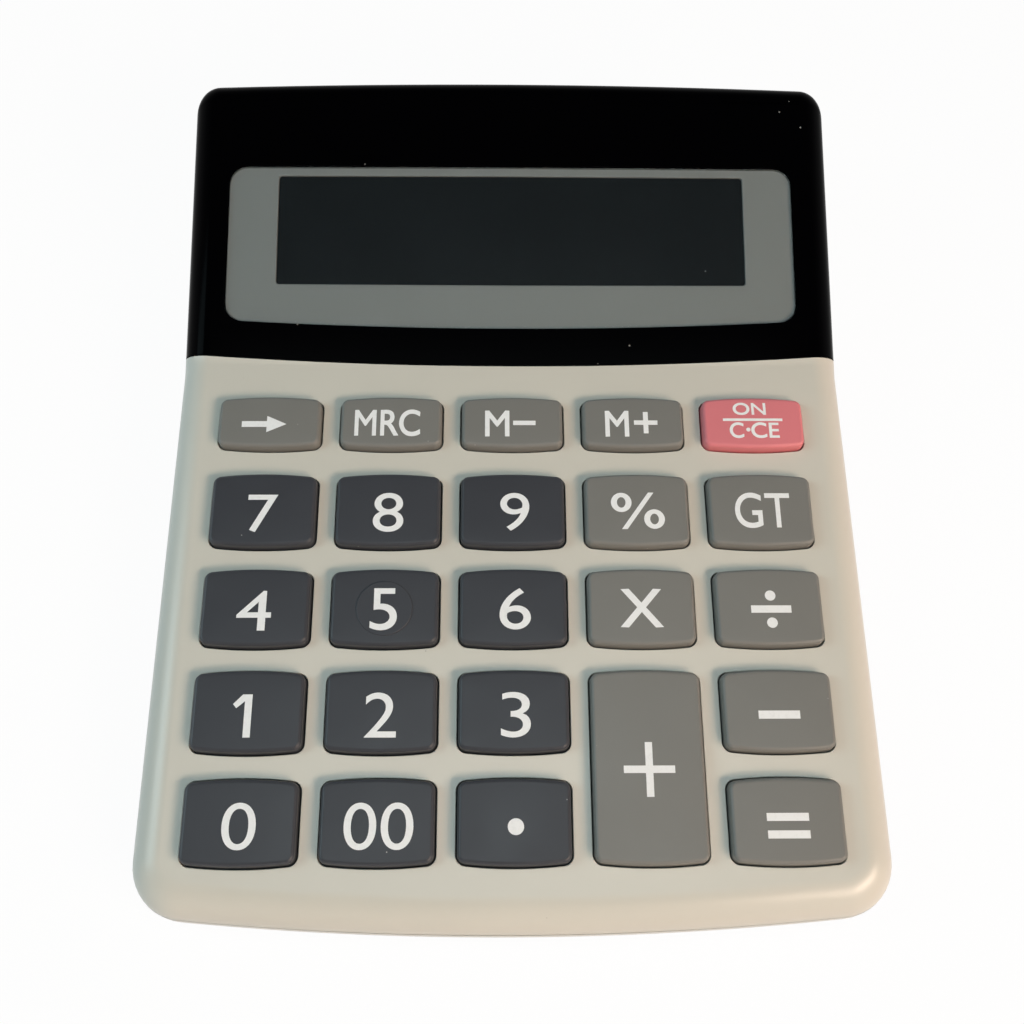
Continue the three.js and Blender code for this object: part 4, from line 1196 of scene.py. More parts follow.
def touch_disc(case):
    """Low raised disc on the five, which fingers find."""
    k = case.keys
    place = case.key_place("key_5")
    edge = k.disc_height / 2
    base = k.height - crown_drop(case, k.disc_radius, 0, place) - WELD / 2

    def rim(inset):
        return circle(k.disc_radius - inset, sides=96)

    rings = [at(rim(0), base), *top_rings(rim, k.height + edge, edge, 4)]
    middle = Vector((place.x, place.y - k.disc_shift))
    return shade(loft("touch disc", rings, over(middle, case.deck)))


# Signs on the keys, drawn in millimetres


def bars(*specs):
    """Flat bars, each by width, height, middle and turn in degrees."""
    outlines = []
    for width, height, x, y, turn in specs:
        a = math.radians(turn)
        corners = [(-width, -height), (width, -height), (width, height), (-width, height)]
        outlines.append([
            (x + (px * math.cos(a) - py * math.sin(a)) / 2, y + (px * math.sin(a) + py * math.cos(a)) / 2)
            for px, py in corners
        ])
    return outlines


def dots(*specs):
    """Round dots, each by diameter and middle."""
    return [circle(diameter / 2, x, y, 40) for diameter, x, y in specs]


def ring(width, height, hole_width, hole_height, x, y, steps=40):
    """Round ring with its hole, as flat pieces side by side."""
    turns = [2 * math.pi * i / steps for i in range(steps + 1)]
    outer = [(x + width / 2 * math.cos(a), y + height / 2 * math.sin(a)) for a in turns]
    inner = [(x + hole_width / 2 * math.cos(a), y + hole_height / 2 * math.sin(a)) for a in turns]
    return [[outer[i], outer[i + 1], inner[i + 1], inner[i]] for i in range(steps)]


def arrow(width, head_length, head_height, shaft, x, y):
    """Arrow that points right."""
    left, right = x - width / 2, x + width / 2
    neck = right - head_length
    return [[
        (right, y), (neck, y + head_height / 2), (neck, y + shaft / 2), (left, y + shaft / 2),
        (left, y - shaft / 2), (neck, y - shaft / 2), (neck, y - head_height / 2),
    ]]


def slash(run, height, thick, x, y):
    """Slanted bar with level ends."""
    low, high, lean = y - height / 2, y + height / 2, run / 2
    return [[(x - lean, low), (x - lean + thick, low), (x + lean, high), (x + lean - thick, high)]]


def one(width, height, stem, flag, x, y):
    """Figure one: an upright stem with a slanted flag."""
    left, right = x - width / 2, x + width / 2
    low, high = y - height / 2, y + height / 2
    neck = right - stem
    throat, brow = (neck, high - flag), (neck - flag / 3, high)
    return [
        [(neck, low), (right, low), (right, high), brow, throat],
        [throat, brow, (left, high - 1.4 * flag), (left + flag / 2, high - 2 * flag)],
    ]


# Words on each key: text, width, height, middle across and along, and how much bolder
WORDS = {
    "key_0": [("0", 5.2, 7.0, 0.1, -0.6, -0.02)],
    "key_00": [("00", 10.6, 7.0, 0.3, -0.65, 0.0)],
    "key_2": [("2", 5.0, 7.1, 0.0, -0.7, 0.0)],
    "key_3": [("3", 4.7, 7.2, 0.3, -0.7, -0.02)],
    "key_4": [("4", 5.6, 6.7, -0.1, -0.7, 0.05)],
    "key_5": [("5", 4.4, 7.1, -0.1, -0.5, 0.05)],
    "key_6": [("6", 5.1, 7.0, 0.3, -0.4, 0.02)],
    "key_7": [("7", 5.0, 6.7, 0.0, -0.8, 0.02)],
    "key_8": [("8", 5.1, 7.0, 0.1, -0.6, 0.0)],
    "key_9": [("9", 4.9, 6.8, 0.35, -0.5, 0.0)],
    "key_multiply": [("X", 7.1, 6.6, -0.05, -0.3, 0.15)],
    "key_grand_total": [("GT", 9.4, 6.4, 0.25, -0.2, 0.06)],
    "key_memory_recall": [("MRC", 11.4, 5.1, -0.6, -0.3, 0.1)],
    "key_memory_minus": [("M", 4.3, 5.0, -2.6, -0.4, 0.12)],
    "key_memory_plus": [("M", 4.2, 5.0, -2.8, -0.4, 0.12)],
    "key_on_clear": [
        ("ON", 5.8, 2.4, -0.55, 2.5, 0.08),
        ("C", 2.5, 3.0, -3.0, -1.6, 0.08),
        ("CE", 4.9, 3.0, 1.95, -1.6, 0.08),
    ],
}
MARKS = {
    "key_1": one(3.0, 6.8, 1.15, 1.1, -0.75, -0.8),
    "key_point": dots((2.5, 0.2, -0.8)),
    "key_equals": bars((6.5, 1.2, -0.1, 0.5, 0), (6.5, 1.2, -0.1, -2.1, 0)),
    "key_plus": bars((8.0, 1.15, 0, -0.75, 0), (8.4, 1.15, 0, -0.75, 90)),
    "key_minus": bars((6.6, 1.3, 0, -0.8, 0)),
    "key_divide": bars((6.6, 1.25, 0.2, -0.5, 0)) + dots((1.75, 0.2, 1.8), (1.75, 0.2, -2.8)),
    "key_backspace": arrow(7.7, 3.4, 3.1, 1.1, -0.85, -0.6),
    "key_percent": ring(3.5, 3.5, 1.45, 1.9, -2.65, 1.2)
    + ring(3.5, 3.5, 1.45, 1.9, 2.85, -1.8)
    + slash(5.6, 6.6, 0.95, 0.1, -0.3),
    "key_memory_minus": bars((3.9, 0.85, 2.1, -0.3, 0)),
    "key_memory_plus": bars((4.1, 0.85, 2.2, -0.2, 0), (4.1, 0.85, 2.2, -0.2, 90)),
    "key_on_clear": bars((10.4, 0.5, -0.1, 0.4, 0)) + dots((0.75, -1.0, -1.5)),
}


def bolder(mesh, reach):
    """Moves the rim of a flat letter out by a distance."""
    work = bmesh.new()
    work.from_mesh(mesh)
    bmesh.ops.remove_doubles(work, verts=work.verts, dist=SAME_PLACE / MM)
    moves = {}
    for vert in work.verts:
        push = Vector((0, 0, 0))
        for edge in vert.link_edges:
            if not edge.is_boundary:
                continue
            run = edge.verts[1].co - edge.verts[0].co
            side = Vector((run.y, -run.x, 0)).normalized()
            inwards = edge.link_faces[0].calc_center_median() - edge.verts[0].co
            push += -side if side.dot(inwards) > 0 else side
        if push.length > 0:
            moves[vert] = push.normalized() * reach
    for vert, move in moves.items():
        vert.co += move
    work.to_mesh(mesh)
    work.free()


def lettering(text, width, height, x, y, bold):
    """Mesh of a word in the built-in face, drawn to a width and height about a middle."""
    curve = bpy.data.curves.new("word", "FONT")
    curve.body = text
    curve.dimensions = "2D"
    curve.resolution_u = 12
    word = bpy.data.objects.new("word", curve)
    bpy.context.scene.collection.objects.link(word)
    depsgraph = bpy.context.evaluated_depsgraph_get()
    mesh = bpy.data.meshes.new_from_object(word.evaluated_get(depsgraph), depsgraph=depsgraph)
    bpy.data.objects.remove(word)
    bpy.data.curves.remove(curve)
    points = np.array([v.co for v in mesh.vertices])
    low, high = points.min(0), points.max(0)
    scale = (width - 2 * bold) / (high[0] - low[0]), (height - 2 * bold) / (high[1] - low[1])
    mesh.transform(Matrix.Translation((-(low[0] + high[0]) / 2, -(low[1] + high[1]) / 2, 0)))
    mesh.transform(Matrix.Diagonal((*scale, 1, 1)))
    mesh.transform(Matrix.Translation((x, y, 0)))
    if bold:
        bolder(mesh, bold)
    return mesh


LONG_EDGE = 2.0  # edges over this many millimetres are split, so that they follow the crown
LONG_EDGE_CUTS = 7


def sign(case, name):
    """All the printed signs of one key, laid on its crowned top."""
    place = case.key_place(name)
    whole = bmesh.new()
    for word in WORDS.get(name, []):
        mesh = lettering(*word)
        whole.from_mesh(mesh)
        bpy.data.meshes.remove(mesh)
    for outline in MARKS.get(name, []):
        whole.faces.new([whole.verts.new((x, y, 0)) for x, y in outline])
    long = [edge for edge in whole.edges if edge.calc_length() > LONG_EDGE]
    bmesh.ops.subdivide_edges(whole, edges=long, cuts=LONG_EDGE_CUTS)
    bmesh.ops.triangulate(whole, faces=whole.faces)
    bmesh.ops.scale(whole, vec=(MM, MM, MM), verts=whole.verts)
    k = case.keys
    for vert in whole.verts:
        drop = crown_drop(case, vert.co.x, vert.co.y, place) if name != "key_5" else -k.disc_height / 2
        vert.co.z = k.height + k.print_lift - drop
    for face in whole.faces:
        face.normal_update()
        if face.normal.z < 0:
            face.normal_flip()
    mesh = bpy.data.meshes.new("sign")
    whole.to_mesh(mesh)
    whole.free()
    mesh.transform(over(place, case.deck))
    return new_object("sign", mesh)


# Finishes


class Signal:
    """Number that varies over a surface; sums and products with it add Math nodes."""

    def __init__(self, finish, socket):
        self.finish = finish
        self.socket = socket

    def _with(self, operation, first, second):
        node = self.finish.node("ShaderNodeMath", {"operation": operation}, {0: first, 1: second})
        return Signal(self.finish, node.outputs[0])

    def __add__(self, other):
        return self._with("ADD", self, other)

    __radd__ = __add__

    def __mul__(self, other):
        return self._with("MULTIPLY", self, other)

    __rmul__ = __mul__

    def __sub__(self, other):
        return self._with("SUBTRACT", self, other)

    def __rsub__(self, other):
        return self._with("SUBTRACT", other, self)


class Finish:
    """Shader tree under construction: its nodes, its output and its texture space."""

    def __init__(self, owner, output="ShaderNodeOutputMaterial", space="Object"):
        owner.use_nodes = True
        self.owner = owner
        self.tree = owner.node_tree
        self.tree.nodes.clear()
        self.output = self.node(output)
        self.space = self.node("ShaderNodeTexCoord").outputs[space]

    def node(self, kind, settings=None, inputs=None):
        """Adds a node, sets what it is, then gives its sockets values or links."""
        made = self.tree.nodes.new(kind)
        for name, value in (settings or {}).items():
            if name == "stops":
                self.set_stops(made.color_ramp, value)
            else:
                setattr(made, name, value)
        for name, value in (inputs or {}).items():
            self.feed(made.inputs[name], value)
        return made

    @staticmethod
    def set_stops(ramp, stops):
        """Gives a ramp its stops, each a place with a number or a colour."""
        while len(ramp.elements) < len(stops):
            ramp.elements.new(1.0)
        for element, (place, value) in zip(ramp.elements, stops):
            element.position = place
            element.color = (*value, 1.0) if isinstance(value, tuple) else (value, value, value, 1.0)

    def feed(self, socket, value):
        if isinstance(value, Signal):
            self.tree.links.new(value.socket, socket)
        elif isinstance(value, bpy.types.NodeSocket):
            self.tree.links.new(value, socket)
        elif socket.type == "RGBA":
            socket.default_value = (*value, 1.0)
        else:
            socket.default_value = value

    def noise(self, scale, detail=3.0, rough=0.5, stretch=None):
        """Cloudy signal from 0 to 1 with so many features to a metre."""
        space = self.space
        if stretch:
            space = self.node("ShaderNodeMapping", None, {"Vector": space, "Scale": stretch}).outputs[0]
        inputs = {"Vector": space, "Scale": scale, "Detail": detail, "Roughness": rough}
        return Signal(self, self.node("ShaderNodeTexNoise", None, inputs).outputs["Fac"])

    def specks(self, scale, size, share):
        """Few small dots: cells so many to a metre, dots of a size in cells, in a share of the cells."""
        cells = self.node("ShaderNodeTexVoronoi", None, {"Vector": self.space, "Scale": scale})
        near = self.ramp(Signal(self, cells.outputs["Distance"]), [(size * 0.6, 1.0), (size, 0.0)])
        picked = self.node("ShaderNodeSeparateColor", None, {"Color": cells.outputs["Color"]})
        chosen = self.ramp(Signal(self, picked.outputs[0]), [(share, 1.0), (share + 0.001, 0.0)])
        return near * chosen

    def ramp(self, signal, stops):
        node = self.node("ShaderNodeValToRGB", {"stops": stops}, {"Fac": signal})
        return Signal(self, node.outputs["Color"])

    def blend(self, share, first, second):
        """Colour between two by a signal."""
        settings = {"data_type": "RGBA", "blend_type": "MIX"}
        return self.node("ShaderNodeMix", settings, {0: share, 6: first, 7: second}).outputs[2]

    def bump(self, height, distance, strength=1.0):
        inputs = {"Height": height, "Distance": distance, "Strength": strength}
        return self.node("ShaderNodeBump", None, inputs).outputs["Normal"]

    def shader(self, **sockets):
        """Surface shader with values or links by socket name."""
        names = {"ior": "IOR", "specular": "Specular IOR Level"}
        inputs = {names.get(n, n.replace("_", " ").title()): value for n, value in sockets.items()}
        return self.node("ShaderNodeBsdfPrincipled", None, inputs).outputs[0]

    def mixed(self, share, first, second):
        node = self.node("ShaderNodeMixShader", None, {0: share, 1: first, 2: second})
        return node.outputs[0]

    def finished(self, shader):
        """Ends the tree with its shader and gives back what it belongs to."""
        self.feed(self.output.inputs["Surface"], shader)
        return self.owner


def new_finish(name):
    return Finish(bpy.data.materials.new(name))


def shifted(colour, factor):
    return tuple(min(max(c * factor, 0.0), 1.0) for c in colour)


def moulded_plastic(name, colour, rough=0.335, grain=0.001 * MM, grain_scale=1500):
    """Satin moulded plastic: fine spark grain, faint clouds of colour, rubbed patches, dust."""
    f = new_finish(name)
    clouds = f.noise(45, 4.0, 0.55)
    fine = f.noise(grain_scale, 2.0, 0.6)
    rubbed = f.ramp(f.noise(18, 2.0, 0.5), [(0.45, 0.0), (0.62, 1.0)])
    base = f.blend(clouds, shifted(colour, 0.97), shifted(colour, 1.03))
    base = f.blend(f.specks(420, 0.07, 0.03) * 0.5, base, tint(120, 112, 100))
    rough = rough + (fine - 0.5) * 0.02 + (clouds - 0.5) * 0.05 - rubbed * 0.03
    return f.finished(f.shader(base_color=base, roughness=rough, normal=f.bump(fine, grain, 0.6)))


def gloss_plastic(name, colour, rough, specular=0.5):
    """Polished plastic with hairline scratches, dust and slightly wavy moulding."""
    f = new_finish(name)
    clouds = f.noise(60, 4.0, 0.6)
    hair = f.ramp(f.noise(900, 3.0, 0.6, (0.06, 1.0, 1.0)), [(0.60, 0.0), (0.64, 1.0), (0.68, 0.0)])
    specks = f.specks(520, 0.1, 0.03)
    return f.finished(f.shader(
        base_color=f.blend(specks * 0.8, colour, tint(150, 150, 148)),
        roughness=rough + (clouds - 0.5) * 0.06 + hair * 0.05 + specks * 0.5,
        specular=specular, normal=f.bump(f.noise(30, 1.0, 0.4), 0.02 * MM, 0.3),
    ))


def key_plastic(name, colour):
    """Key plastic: fine grain, worn smoother by fingers, a little dust."""
    f = new_finish(name)
    clouds = f.noise(70, 4.0, 0.6)
    fine = f.noise(3200, 2.0, 0.6)
    worn = f.ramp(f.noise(110, 2.0, 0.5), [(0.4, 0.0), (0.65, 1.0)])
    base = f.blend(clouds, shifted(colour, 0.95), shifted(colour, 1.05))
    base = f.blend(f.specks(620, 0.08, 0.02) * 0.6, base, tint(190, 190, 186))
    rough = 0.42 + (fine - 0.5) * 0.08 + (clouds - 0.5) * 0.1 - worn * 0.06
    normal = f.bump(fine, 0.005 * MM, 0.5)
    return f.finished(f.shader(base_color=base, roughness=rough, specular=0.3, normal=normal))


def printed_ink(name, colour):
    """White ink, a little uneven and thin in places."""
    f = new_finish(name)
    cover = f.noise(1500, 4.0, 0.7)
    base = f.blend(f.ramp(cover, [(0.3, 0.0), (0.5, 1.0)]), shifted(colour, 0.94), colour)
    rough = 0.5 + (cover - 0.5) * 0.15
    return f.finished(f.shader(base_color=base, roughness=rough, normal=f.bump(cover, 0.01 * MM, 0.4)))


def clear_window(name):
    """Clear pane: sees through, mirrors more at a slant, with dust on it."""
    f = new_finish(name)
    dust = f.specks(480, 0.09, 0.03)
    mirror = f.shader(
        base_color=(0.9, 0.92, 0.92), metallic=1.0, roughness=0.06 + dust * 0.4,
        normal=f.bump(f.noise(25, 1.0, 0.4), 0.01 * MM, 0.2),
    )
    clear = f.node("ShaderNodeBsdfTransparent", None, {"Color": (0.99, 0.99, 0.99)}).outputs[0]
    slant = Signal(f, f.node("ShaderNodeFresnel", None, {"IOR": 1.45}).outputs[0])
    return f.finished(f.mixed(slant * 0.4 + dust * 0.3, clear, mirror))


def display_glass(name, colour):
    """Dark display glass with a faint cloud and a little dust."""
    f = new_finish(name)
    clouds = f.noise(40, 3.0, 0.5)
    base = f.blend(clouds, shifted(colour, 0.85), shifted(colour, 1.15))
    base = f.blend(f.specks(450, 0.06, 0.04) * 0.6, base, tint(150, 150, 148))
    return f.finished(f.shader(base_color=base, roughness=0.21 + (clouds - 0.5) * 0.08, specular=0.12))


def rubber(name, colour, rough=0.8):
    """Matt rubber with a fine grain."""
    f = new_finish(name)
    fine = f.noise(2200, 3.0, 0.6)
    clouds = f.noise(120, 3.0, 0.5)
    base = f.blend(clouds, shifted(colour, 0.85), shifted(colour, 1.2))
    rough = rough + (fine - 0.5) * 0.2
    return f.finished(f.shader(base_color=base, roughness=rough, normal=f.bump(fine, 0.03 * MM, 0.7)))


def plated_steel(name, colour=(0.62, 0.63, 0.64), rough=0.3):
    """Plated steel with drawing lines and a little tarnish."""
    f = new_finish(name)
    drawn = f.noise(1400, 3.0, 0.6, (0.1, 1.0, 1.0))
    tarnish = f.noise(260, 4.0, 0.6)
    rough = rough + (drawn - 0.5) * 0.2 + (tarnish - 0.5) * 0.2
    return f.finished(f.shader(
        base_color=f.blend(tarnish, shifted(colour, 0.8), colour), metallic=1.0, roughness=rough,
        normal=f.bump(drawn, 0.01 * MM, 0.5),
    ))


def printed_board(name, colour):
    """Green laminate with copper tracks under its lacquer."""
    f = new_finish(name)
    tracks = f.node("ShaderNodeTexBrick", None, {
        "Vector": f.space, "Scale": 260.0, "Mortar Size": 0.09, "Brick Width": 0.9, "Row Height": 0.35,
    })
    line = Signal(f, tracks.outputs["Fac"])
    weave = f.noise(1800, 2.0, 0.5)
    return f.finished(f.shader(
        base_color=f.blend(line, colour, shifted(colour, 2.2)), roughness=0.4 + (weave - 0.5) * 0.2,
        normal=f.bump(line + weave * 0.3, 0.03 * MM),
    ))


def make_finishes(scene):
    """Every finish, by the name of its material slot."""
    c = scene.calculator_colours
    FINISHES.update(
        case_plastic=moulded_plastic("case_plastic", c.case),
        cover_gloss=gloss_plastic("cover_gloss", c.cover, 0.13, 0.01),
        window_clear=clear_window("window_clear"),
        bezel_grey=moulded_plastic("bezel_grey", c.bezel, 0.5, 0.006 * MM, 3500),
        lcd_glass=display_glass("lcd_glass", c.glass),
        ribbon_film=gloss_plastic("ribbon_film", tint(150, 95, 40), 0.2),
        board_laminate=printed_board("board_laminate", c.board),
        epoxy_black=gloss_plastic("epoxy_black", tint(16, 16, 17), 0.2),
        dome_rubber=rubber("dome_rubber", c.dome, 0.7),
        key_dark=key_plastic("key_dark", c.key_dark),
        key_grey=key_plastic("key_grey", c.key_grey),
        key_pink=key_plastic("key_pink", c.key_pink),
        foot_rubber=rubber("foot_rubber", c.rubber),
        screw_steel=plated_steel("screw_steel"),
        contact_steel=plated_steel("contact_steel", (0.7, 0.69, 0.66), 0.25),
        cell_jacket=gloss_plastic("cell_jacket", c.jacket, 0.2),
        lead_red=gloss_plastic("lead_red", tint(160, 30, 28), 0.4),
        lead_black=gloss_plastic("lead_black", tint(22, 22, 23), 0.4),
        sign_ink=printed_ink("sign_ink", c.legend),
    )


def key_slot(name):
    if name == "key_on_clear":
        return "key_pink"
    number = name.removeprefix("key_")
    return "key_dark" if number.isdigit() or number == "point" else "key_grey"


# Stage


# Soft lamps by the setting of their power: place, width and height, colour
LAMPS = {
    "key_power": ((0.46, -0.42, 0.40), (0.5, 0.15), (1.0, 0.77, 0.61)),
    "left_power": ((-0.56, 0.0, 0.42), (0.3, 0.3), (0.70, 0.94, 1.0)),
    "top_power": ((0.0, -0.07, 0.42), (0.3, 0.2), (0.85, 0.98, 1.0)),
}


def lamp(name, strength, place, size, colour):
    """Area lamp aimed at the object."""
    data = bpy.data.lights.new(name, "AREA")
    data.shape = "RECTANGLE"
    data.size, data.size_y = size
    data.energy = strength
    data.color = colour
    made = bpy.data.objects.new(name, data)
    made.location = place
    made.rotation_euler = Vector(place).to_track_quat("Z", "Y").to_euler()
    bpy.context.scene.collection.objects.link(made)


def seen_directly(finish):
    """Shares of the rays that come from the camera and of those from mirrors and glass."""
    path = finish.node("ShaderNodeLightPath")
    camera, glossy, glass = [
        Signal(finish, path.outputs[name])
        for name in ("Is Camera Ray", "Is Glossy Ray", "Is Transmission Ray")
    ]
    return camera, glossy + glass


FLOOR_HALF = 4.0
WHITE_SHARE = 0.95  # how much of the floor is seen as even white; the rest keeps the shadow


def make_floor():
    """White floor, which the camera, mirrors and glass see as even white and which keeps shadows."""
    f = new_finish("studio_floor")
    camera, mirrors = seen_directly(f)
    diffuse = f.node("ShaderNodeBsdfDiffuse", None, {"Color": (0.9, 0.9, 0.9)}).outputs[0]
    glow = f.node("ShaderNodeEmission", None, {"Color": (1, 1, 1), "Strength": 1.0}).outputs[0]
    material = f.finished(f.mixed((camera + mirrors) * WHITE_SHARE, diffuse, glow))
    sides = (-FLOOR_HALF, FLOOR_HALF, -FLOOR_HALF, FLOOR_HALF)
    floor = form("floor", at(corners(*sides), 0), [(0, 1, 2, 3)])
    floor.data.materials.append(material)


def make_world(sky):
    """Studio: white backdrop with a dark ceiling, its light cool at the left and warm at the right."""
    world = bpy.data.worlds.new("studio")
    bpy.context.scene.world = world
    f = Finish(world, "ShaderNodeOutputWorld", "Generated")
    way = f.node("ShaderNodeSeparateXYZ", None, {"Vector": f.space})
    across = Signal(f, way.outputs["X"]) * 0.5 + 0.5
    side = f.ramp(across, [(0.2, (0.80, 0.95, 1.0)), (0.8, (1.0, 0.93, 0.84))])
    height = Signal(f, way.outputs["Z"])
    glow = f.ramp(height, [(0.0, 1.0), (0.55, 0.7), (0.85, 0.05)])
    ceiling = f.ramp(height, [(0.3, 1.0), (0.75, 0.02)])
    camera, mirrors = seen_directly(f)
    soft = f.node("ShaderNodeBackground", None, {"Color": side, "Strength": glow * sky}).outputs[0]
    plain = {"Color": (1, 1, 1), "Strength": camera + mirrors * ceiling}
    white = f.node("ShaderNodeBackground", None, plain).outputs[0]
    f.finished(f.mixed(camera + mirrors, soft, white))


# Camera: place in millimetres, turns about its own axes in degrees, and focal length
CAMERA_PLACE = (-3.27, -94.00, 192.03)
CAMERA_TURNS = (("Z", -2.116), ("X", 26.055), ("Z", 1.933))
CAMERA_LENS = 40.52


def make_camera():
    """Camera where the photographer stood, above the user's side of the calculator."""
    data = bpy.data.cameras.new("camera")
    data.sensor_width = 36
    data.lens = CAMERA_LENS
    data.clip_start = 10 * MM
    made = bpy.data.objects.new("camera", data)
    bpy.context.scene.collection.objects.link(made)
    made.location = [value * MM for value in CAMERA_PLACE]
    turn = Matrix.Identity(4)
    for axis, degrees in CAMERA_TURNS:
        turn = turn @ Matrix.Rotation(math.radians(degrees), 4, axis)
    made.rotation_euler = turn.to_euler()
    bpy.context.scene.camera = made


# Operators


class CALCULATOR_OT_stage(bpy.types.Operator):
    """Make the floor, the lamps, the sky and the camera"""

    bl_idname = "calculator.stage"
    bl_label = "Stage"

    def execute(self, context):
        s = context.scene.calculator_stage
        context.scene.view_settings.view_transform = "Standard"
        make_camera()
        make_floor()
        make_world(s.sky)
        for setting, kind in LAMPS.items():
            lamp(setting.replace("_power", " lamp"), getattr(s, setting), *kind)
        return {"FINISHED"}


class CALCULATOR_OT_finishes(bpy.types.Operator):
    """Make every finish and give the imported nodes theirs"""

    bl_idname = "calculator.finishes"
    bl_label = "Finishes"

    def execute(self, context):
        make_finishes(context.scene)
        for entry in frame["record"]["subparts"]:
            painted(frame["nodes"][entry["node"]], entry["material_slot"])
        return {"FINISHED"}


class CALCULATOR_OT_case_halves(bpy.types.Operator):
    """Make the upper and the lower half of the case"""

    bl_idname = "calculator.case_halves"
    bl_label = "Case"

    def execute(self, context):
        case = Case(context.scene)
        placed(make_upper_case(case), "upper_shell", CASE, "case_plastic", "upper_case")
        placed(make_lower_case(case), "lower_shell", CASE, "case_plastic", "lower_case")
        return {"FINISHED"}


class CALCULATOR_OT_display(bpy.types.Operator):
    """Make the black cover, the window, the grey bezel and the display glass"""

    bl_idname = "calculator.display"
    bl_label = "Display"

    def execute(self, context):
        case = Case(context.scene)
        placed(make_display_cover(case), "black_cover", CASE, "cover_gloss", "display_cover")
        placed(make_window(case), "clear_pane", CASE, "window_clear", "display_window")
        placed(make_bezel(case), "grey_bezel", CASE, "bezel_grey", "lcd_bezel")
        glasses, film = make_display_stack(case)
        placed(glasses, "display_glasses", CASE, "lcd_glass", "lcd_panel")
        placed(film, "display_film", CASE, "lcd_glass", "lcd_panel")
        return {"FINISHED"}


class CALCULATOR_OT_keys(bpy.types.Operator):
    """Make the keys and the signs printed on them"""

    bl_idname = "calculator.keys"
    bl_label = "Keys"

    def execute(self, context):
        case = Case(context.scene)
        for name in KEY_NAMES:
            slot = key_slot(name)
            placed(key_cap(case, name), f"{name}_cap", name, slot, name)
            placed(sign(case, name), f"{name}_sign", name, slot, finish="sign_ink")
        placed(touch_disc(case), "key_5_touch_disc", "key_5", key_slot("key_5"))
        return {"FINISHED"}


class CALCULATOR_OT_domes(bpy.types.Operator):
    """Make the rubber sheet and the dome under each key"""

    bl_idname = "calculator.domes"
    bl_label = "Rubber domes"

    def execute(self, context):
        case = Case(context.scene)
        placed(make_sheet(case), "dome_sheet", CASE, "dome_rubber", "keypad_membrane")
        foot = extent("keypad_membrane", case.deck)[0].z + case.keys.sheet
        for name in KEY_NAMES:
            place = case.key_place(name)
            dome = make_dome(case, place)
            placed(dome, f"{name}_dome", CASE, "dome_rubber", "keypad_membrane")
            tuple(press_axis())
            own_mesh(dome)
        return {"FINISHED"}


class CALCULATOR_OT_board(bpy.types.Operator):
    """Make what is on the circuit board"""

    bl_idname = "calculator.board"
    bl_label = "Circuit board"

    def execute(self, context):
        case = Case(context.scene)
        b = case.details
        placed(make_chip_cover(case), "chip_drop", CASE, "epoxy_black", "chip_cover")
        placed(make_capacitor(case), "capacitor_can", CASE, "epoxy_black", "capacitor")
        for node in BOARD_SCREWS:
            screw = make_screw(node, case.deck, b.board_head_height, b.board_shank, b.thread_pitch)
            placed(screw, f"{node}_cross_head", CASE, "screw_steel", node)
        return {"FINISHED"}


class CALCULATOR_OT_base(bpy.types.Operator):
    """Make the battery door, the feet and the case screws"""

    bl_idname = "calculator.base"
    bl_label = "Base"

    def execute(self, context):
        case = Case(context.scene)
        b = case.details
        placed(make_door(case), "door_plate", DOOR, "case_plastic", DOOR)
        for node in FEET:
            placed(make_foot(case, node), f"{node}_pad", CASE, "foot_rubber", node)
        for node in CASE_SCREWS:
            screw = make_screw(node, UPRIGHT, b.screw_head_height, b.screw_shank, b.thread_pitch)
            placed(screw, f"{node}_cross_head", CASE, "screw_steel", node)
        return {"FINISHED"}


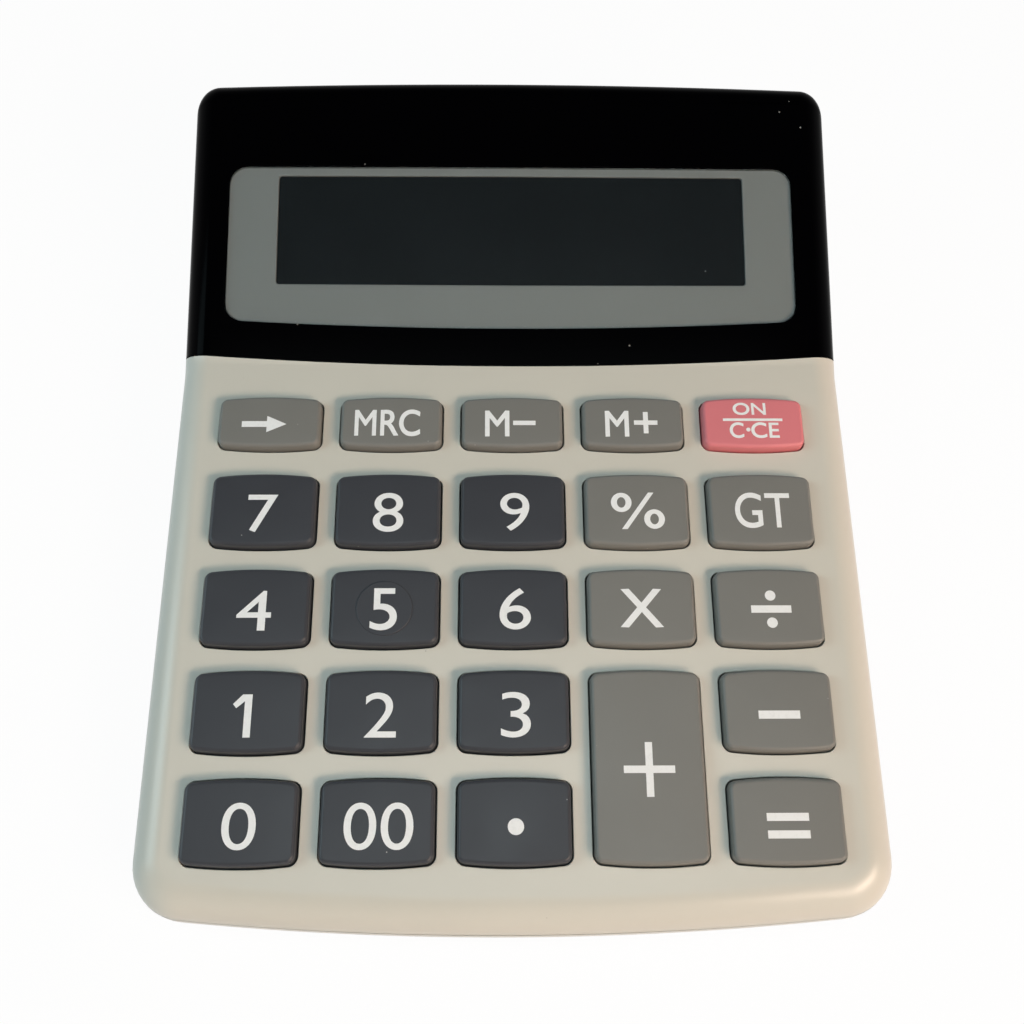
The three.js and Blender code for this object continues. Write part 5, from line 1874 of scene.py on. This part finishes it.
class CALCULATOR_OT_power(bpy.types.Operator):
    """Make the cell and its contact spring"""

    bl_idname = "calculator.power"
    bl_label = "Power"

    def execute(self, context):
        case = Case(context.scene)
        can, jacket = make_cell(case)
        placed(can, "cell_can", CASE, "contact_steel", "battery_cell")
        placed(jacket, "cell_wrap", CASE, "cell_jacket", "battery_cell")
        placed(make_spring(case), "contact_spring", CASE, "contact_steel", "battery_spring")
        return {"FINISHED"}


class CALCULATOR_PT_panel(bpy.types.Panel):
    """Lists the pieces and their settings"""

    bl_idname = "CALCULATOR_PT_panel"
    bl_label = "Desktop calculator"
    bl_space_type = "VIEW_3D"
    bl_region_type = "UI"
    bl_category = "Calculator"

    def draw(self, context):
        for operator in OPERATORS:
            self.layout.operator(operator.bl_idname)
        for owner in SETTINGS:
            group = getattr(context.scene, owner)
            for name in group.bl_rna.properties.keys():
                if name not in ("rna_type", "name"):
                    self.layout.prop(group, name)


SETTINGS = {
    "calculator_case": CalculatorCaseSettings,
    "calculator_display": CalculatorDisplaySettings,
    "calculator_keys": CalculatorKeySettings,
    "calculator_base": CalculatorBaseSettings,
    "calculator_colours": CalculatorColourSettings,
    "calculator_stage": CalculatorStageSettings,
}
OPERATORS = (
    CALCULATOR_OT_stage,
    CALCULATOR_OT_finishes,
    CALCULATOR_OT_case_halves,
    CALCULATOR_OT_display,
    CALCULATOR_OT_keys,
    CALCULATOR_OT_domes,
    CALCULATOR_OT_board,
    CALCULATOR_OT_base,
    CALCULATOR_OT_power,
)


def register():
    for cls in (*SETTINGS.values(), *OPERATORS, CALCULATOR_PT_panel):
        bpy.utils.register_class(cls)
    for name, cls in SETTINGS.items():
        setattr(bpy.types.Scene, name, bpy.props.PointerProperty(type=cls))


def unregister():
    for name in SETTINGS:
        delattr(bpy.types.Scene, name)
    for cls in (CALCULATOR_PT_panel, *reversed(OPERATORS), *reversed(list(SETTINGS.values()))):
        bpy.utils.unregister_class(cls)


def main():
    register()
    bpy.ops.calculator.stage()
    bpy.ops.calculator.finishes()
    bpy.ops.calculator.case_halves()
    bpy.ops.calculator.display()
    bpy.ops.calculator.keys()
    bpy.ops.calculator.domes()
    bpy.ops.calculator.board()
    bpy.ops.calculator.base()
    bpy.ops.calculator.power()


if __name__ == "__main__":
    main()
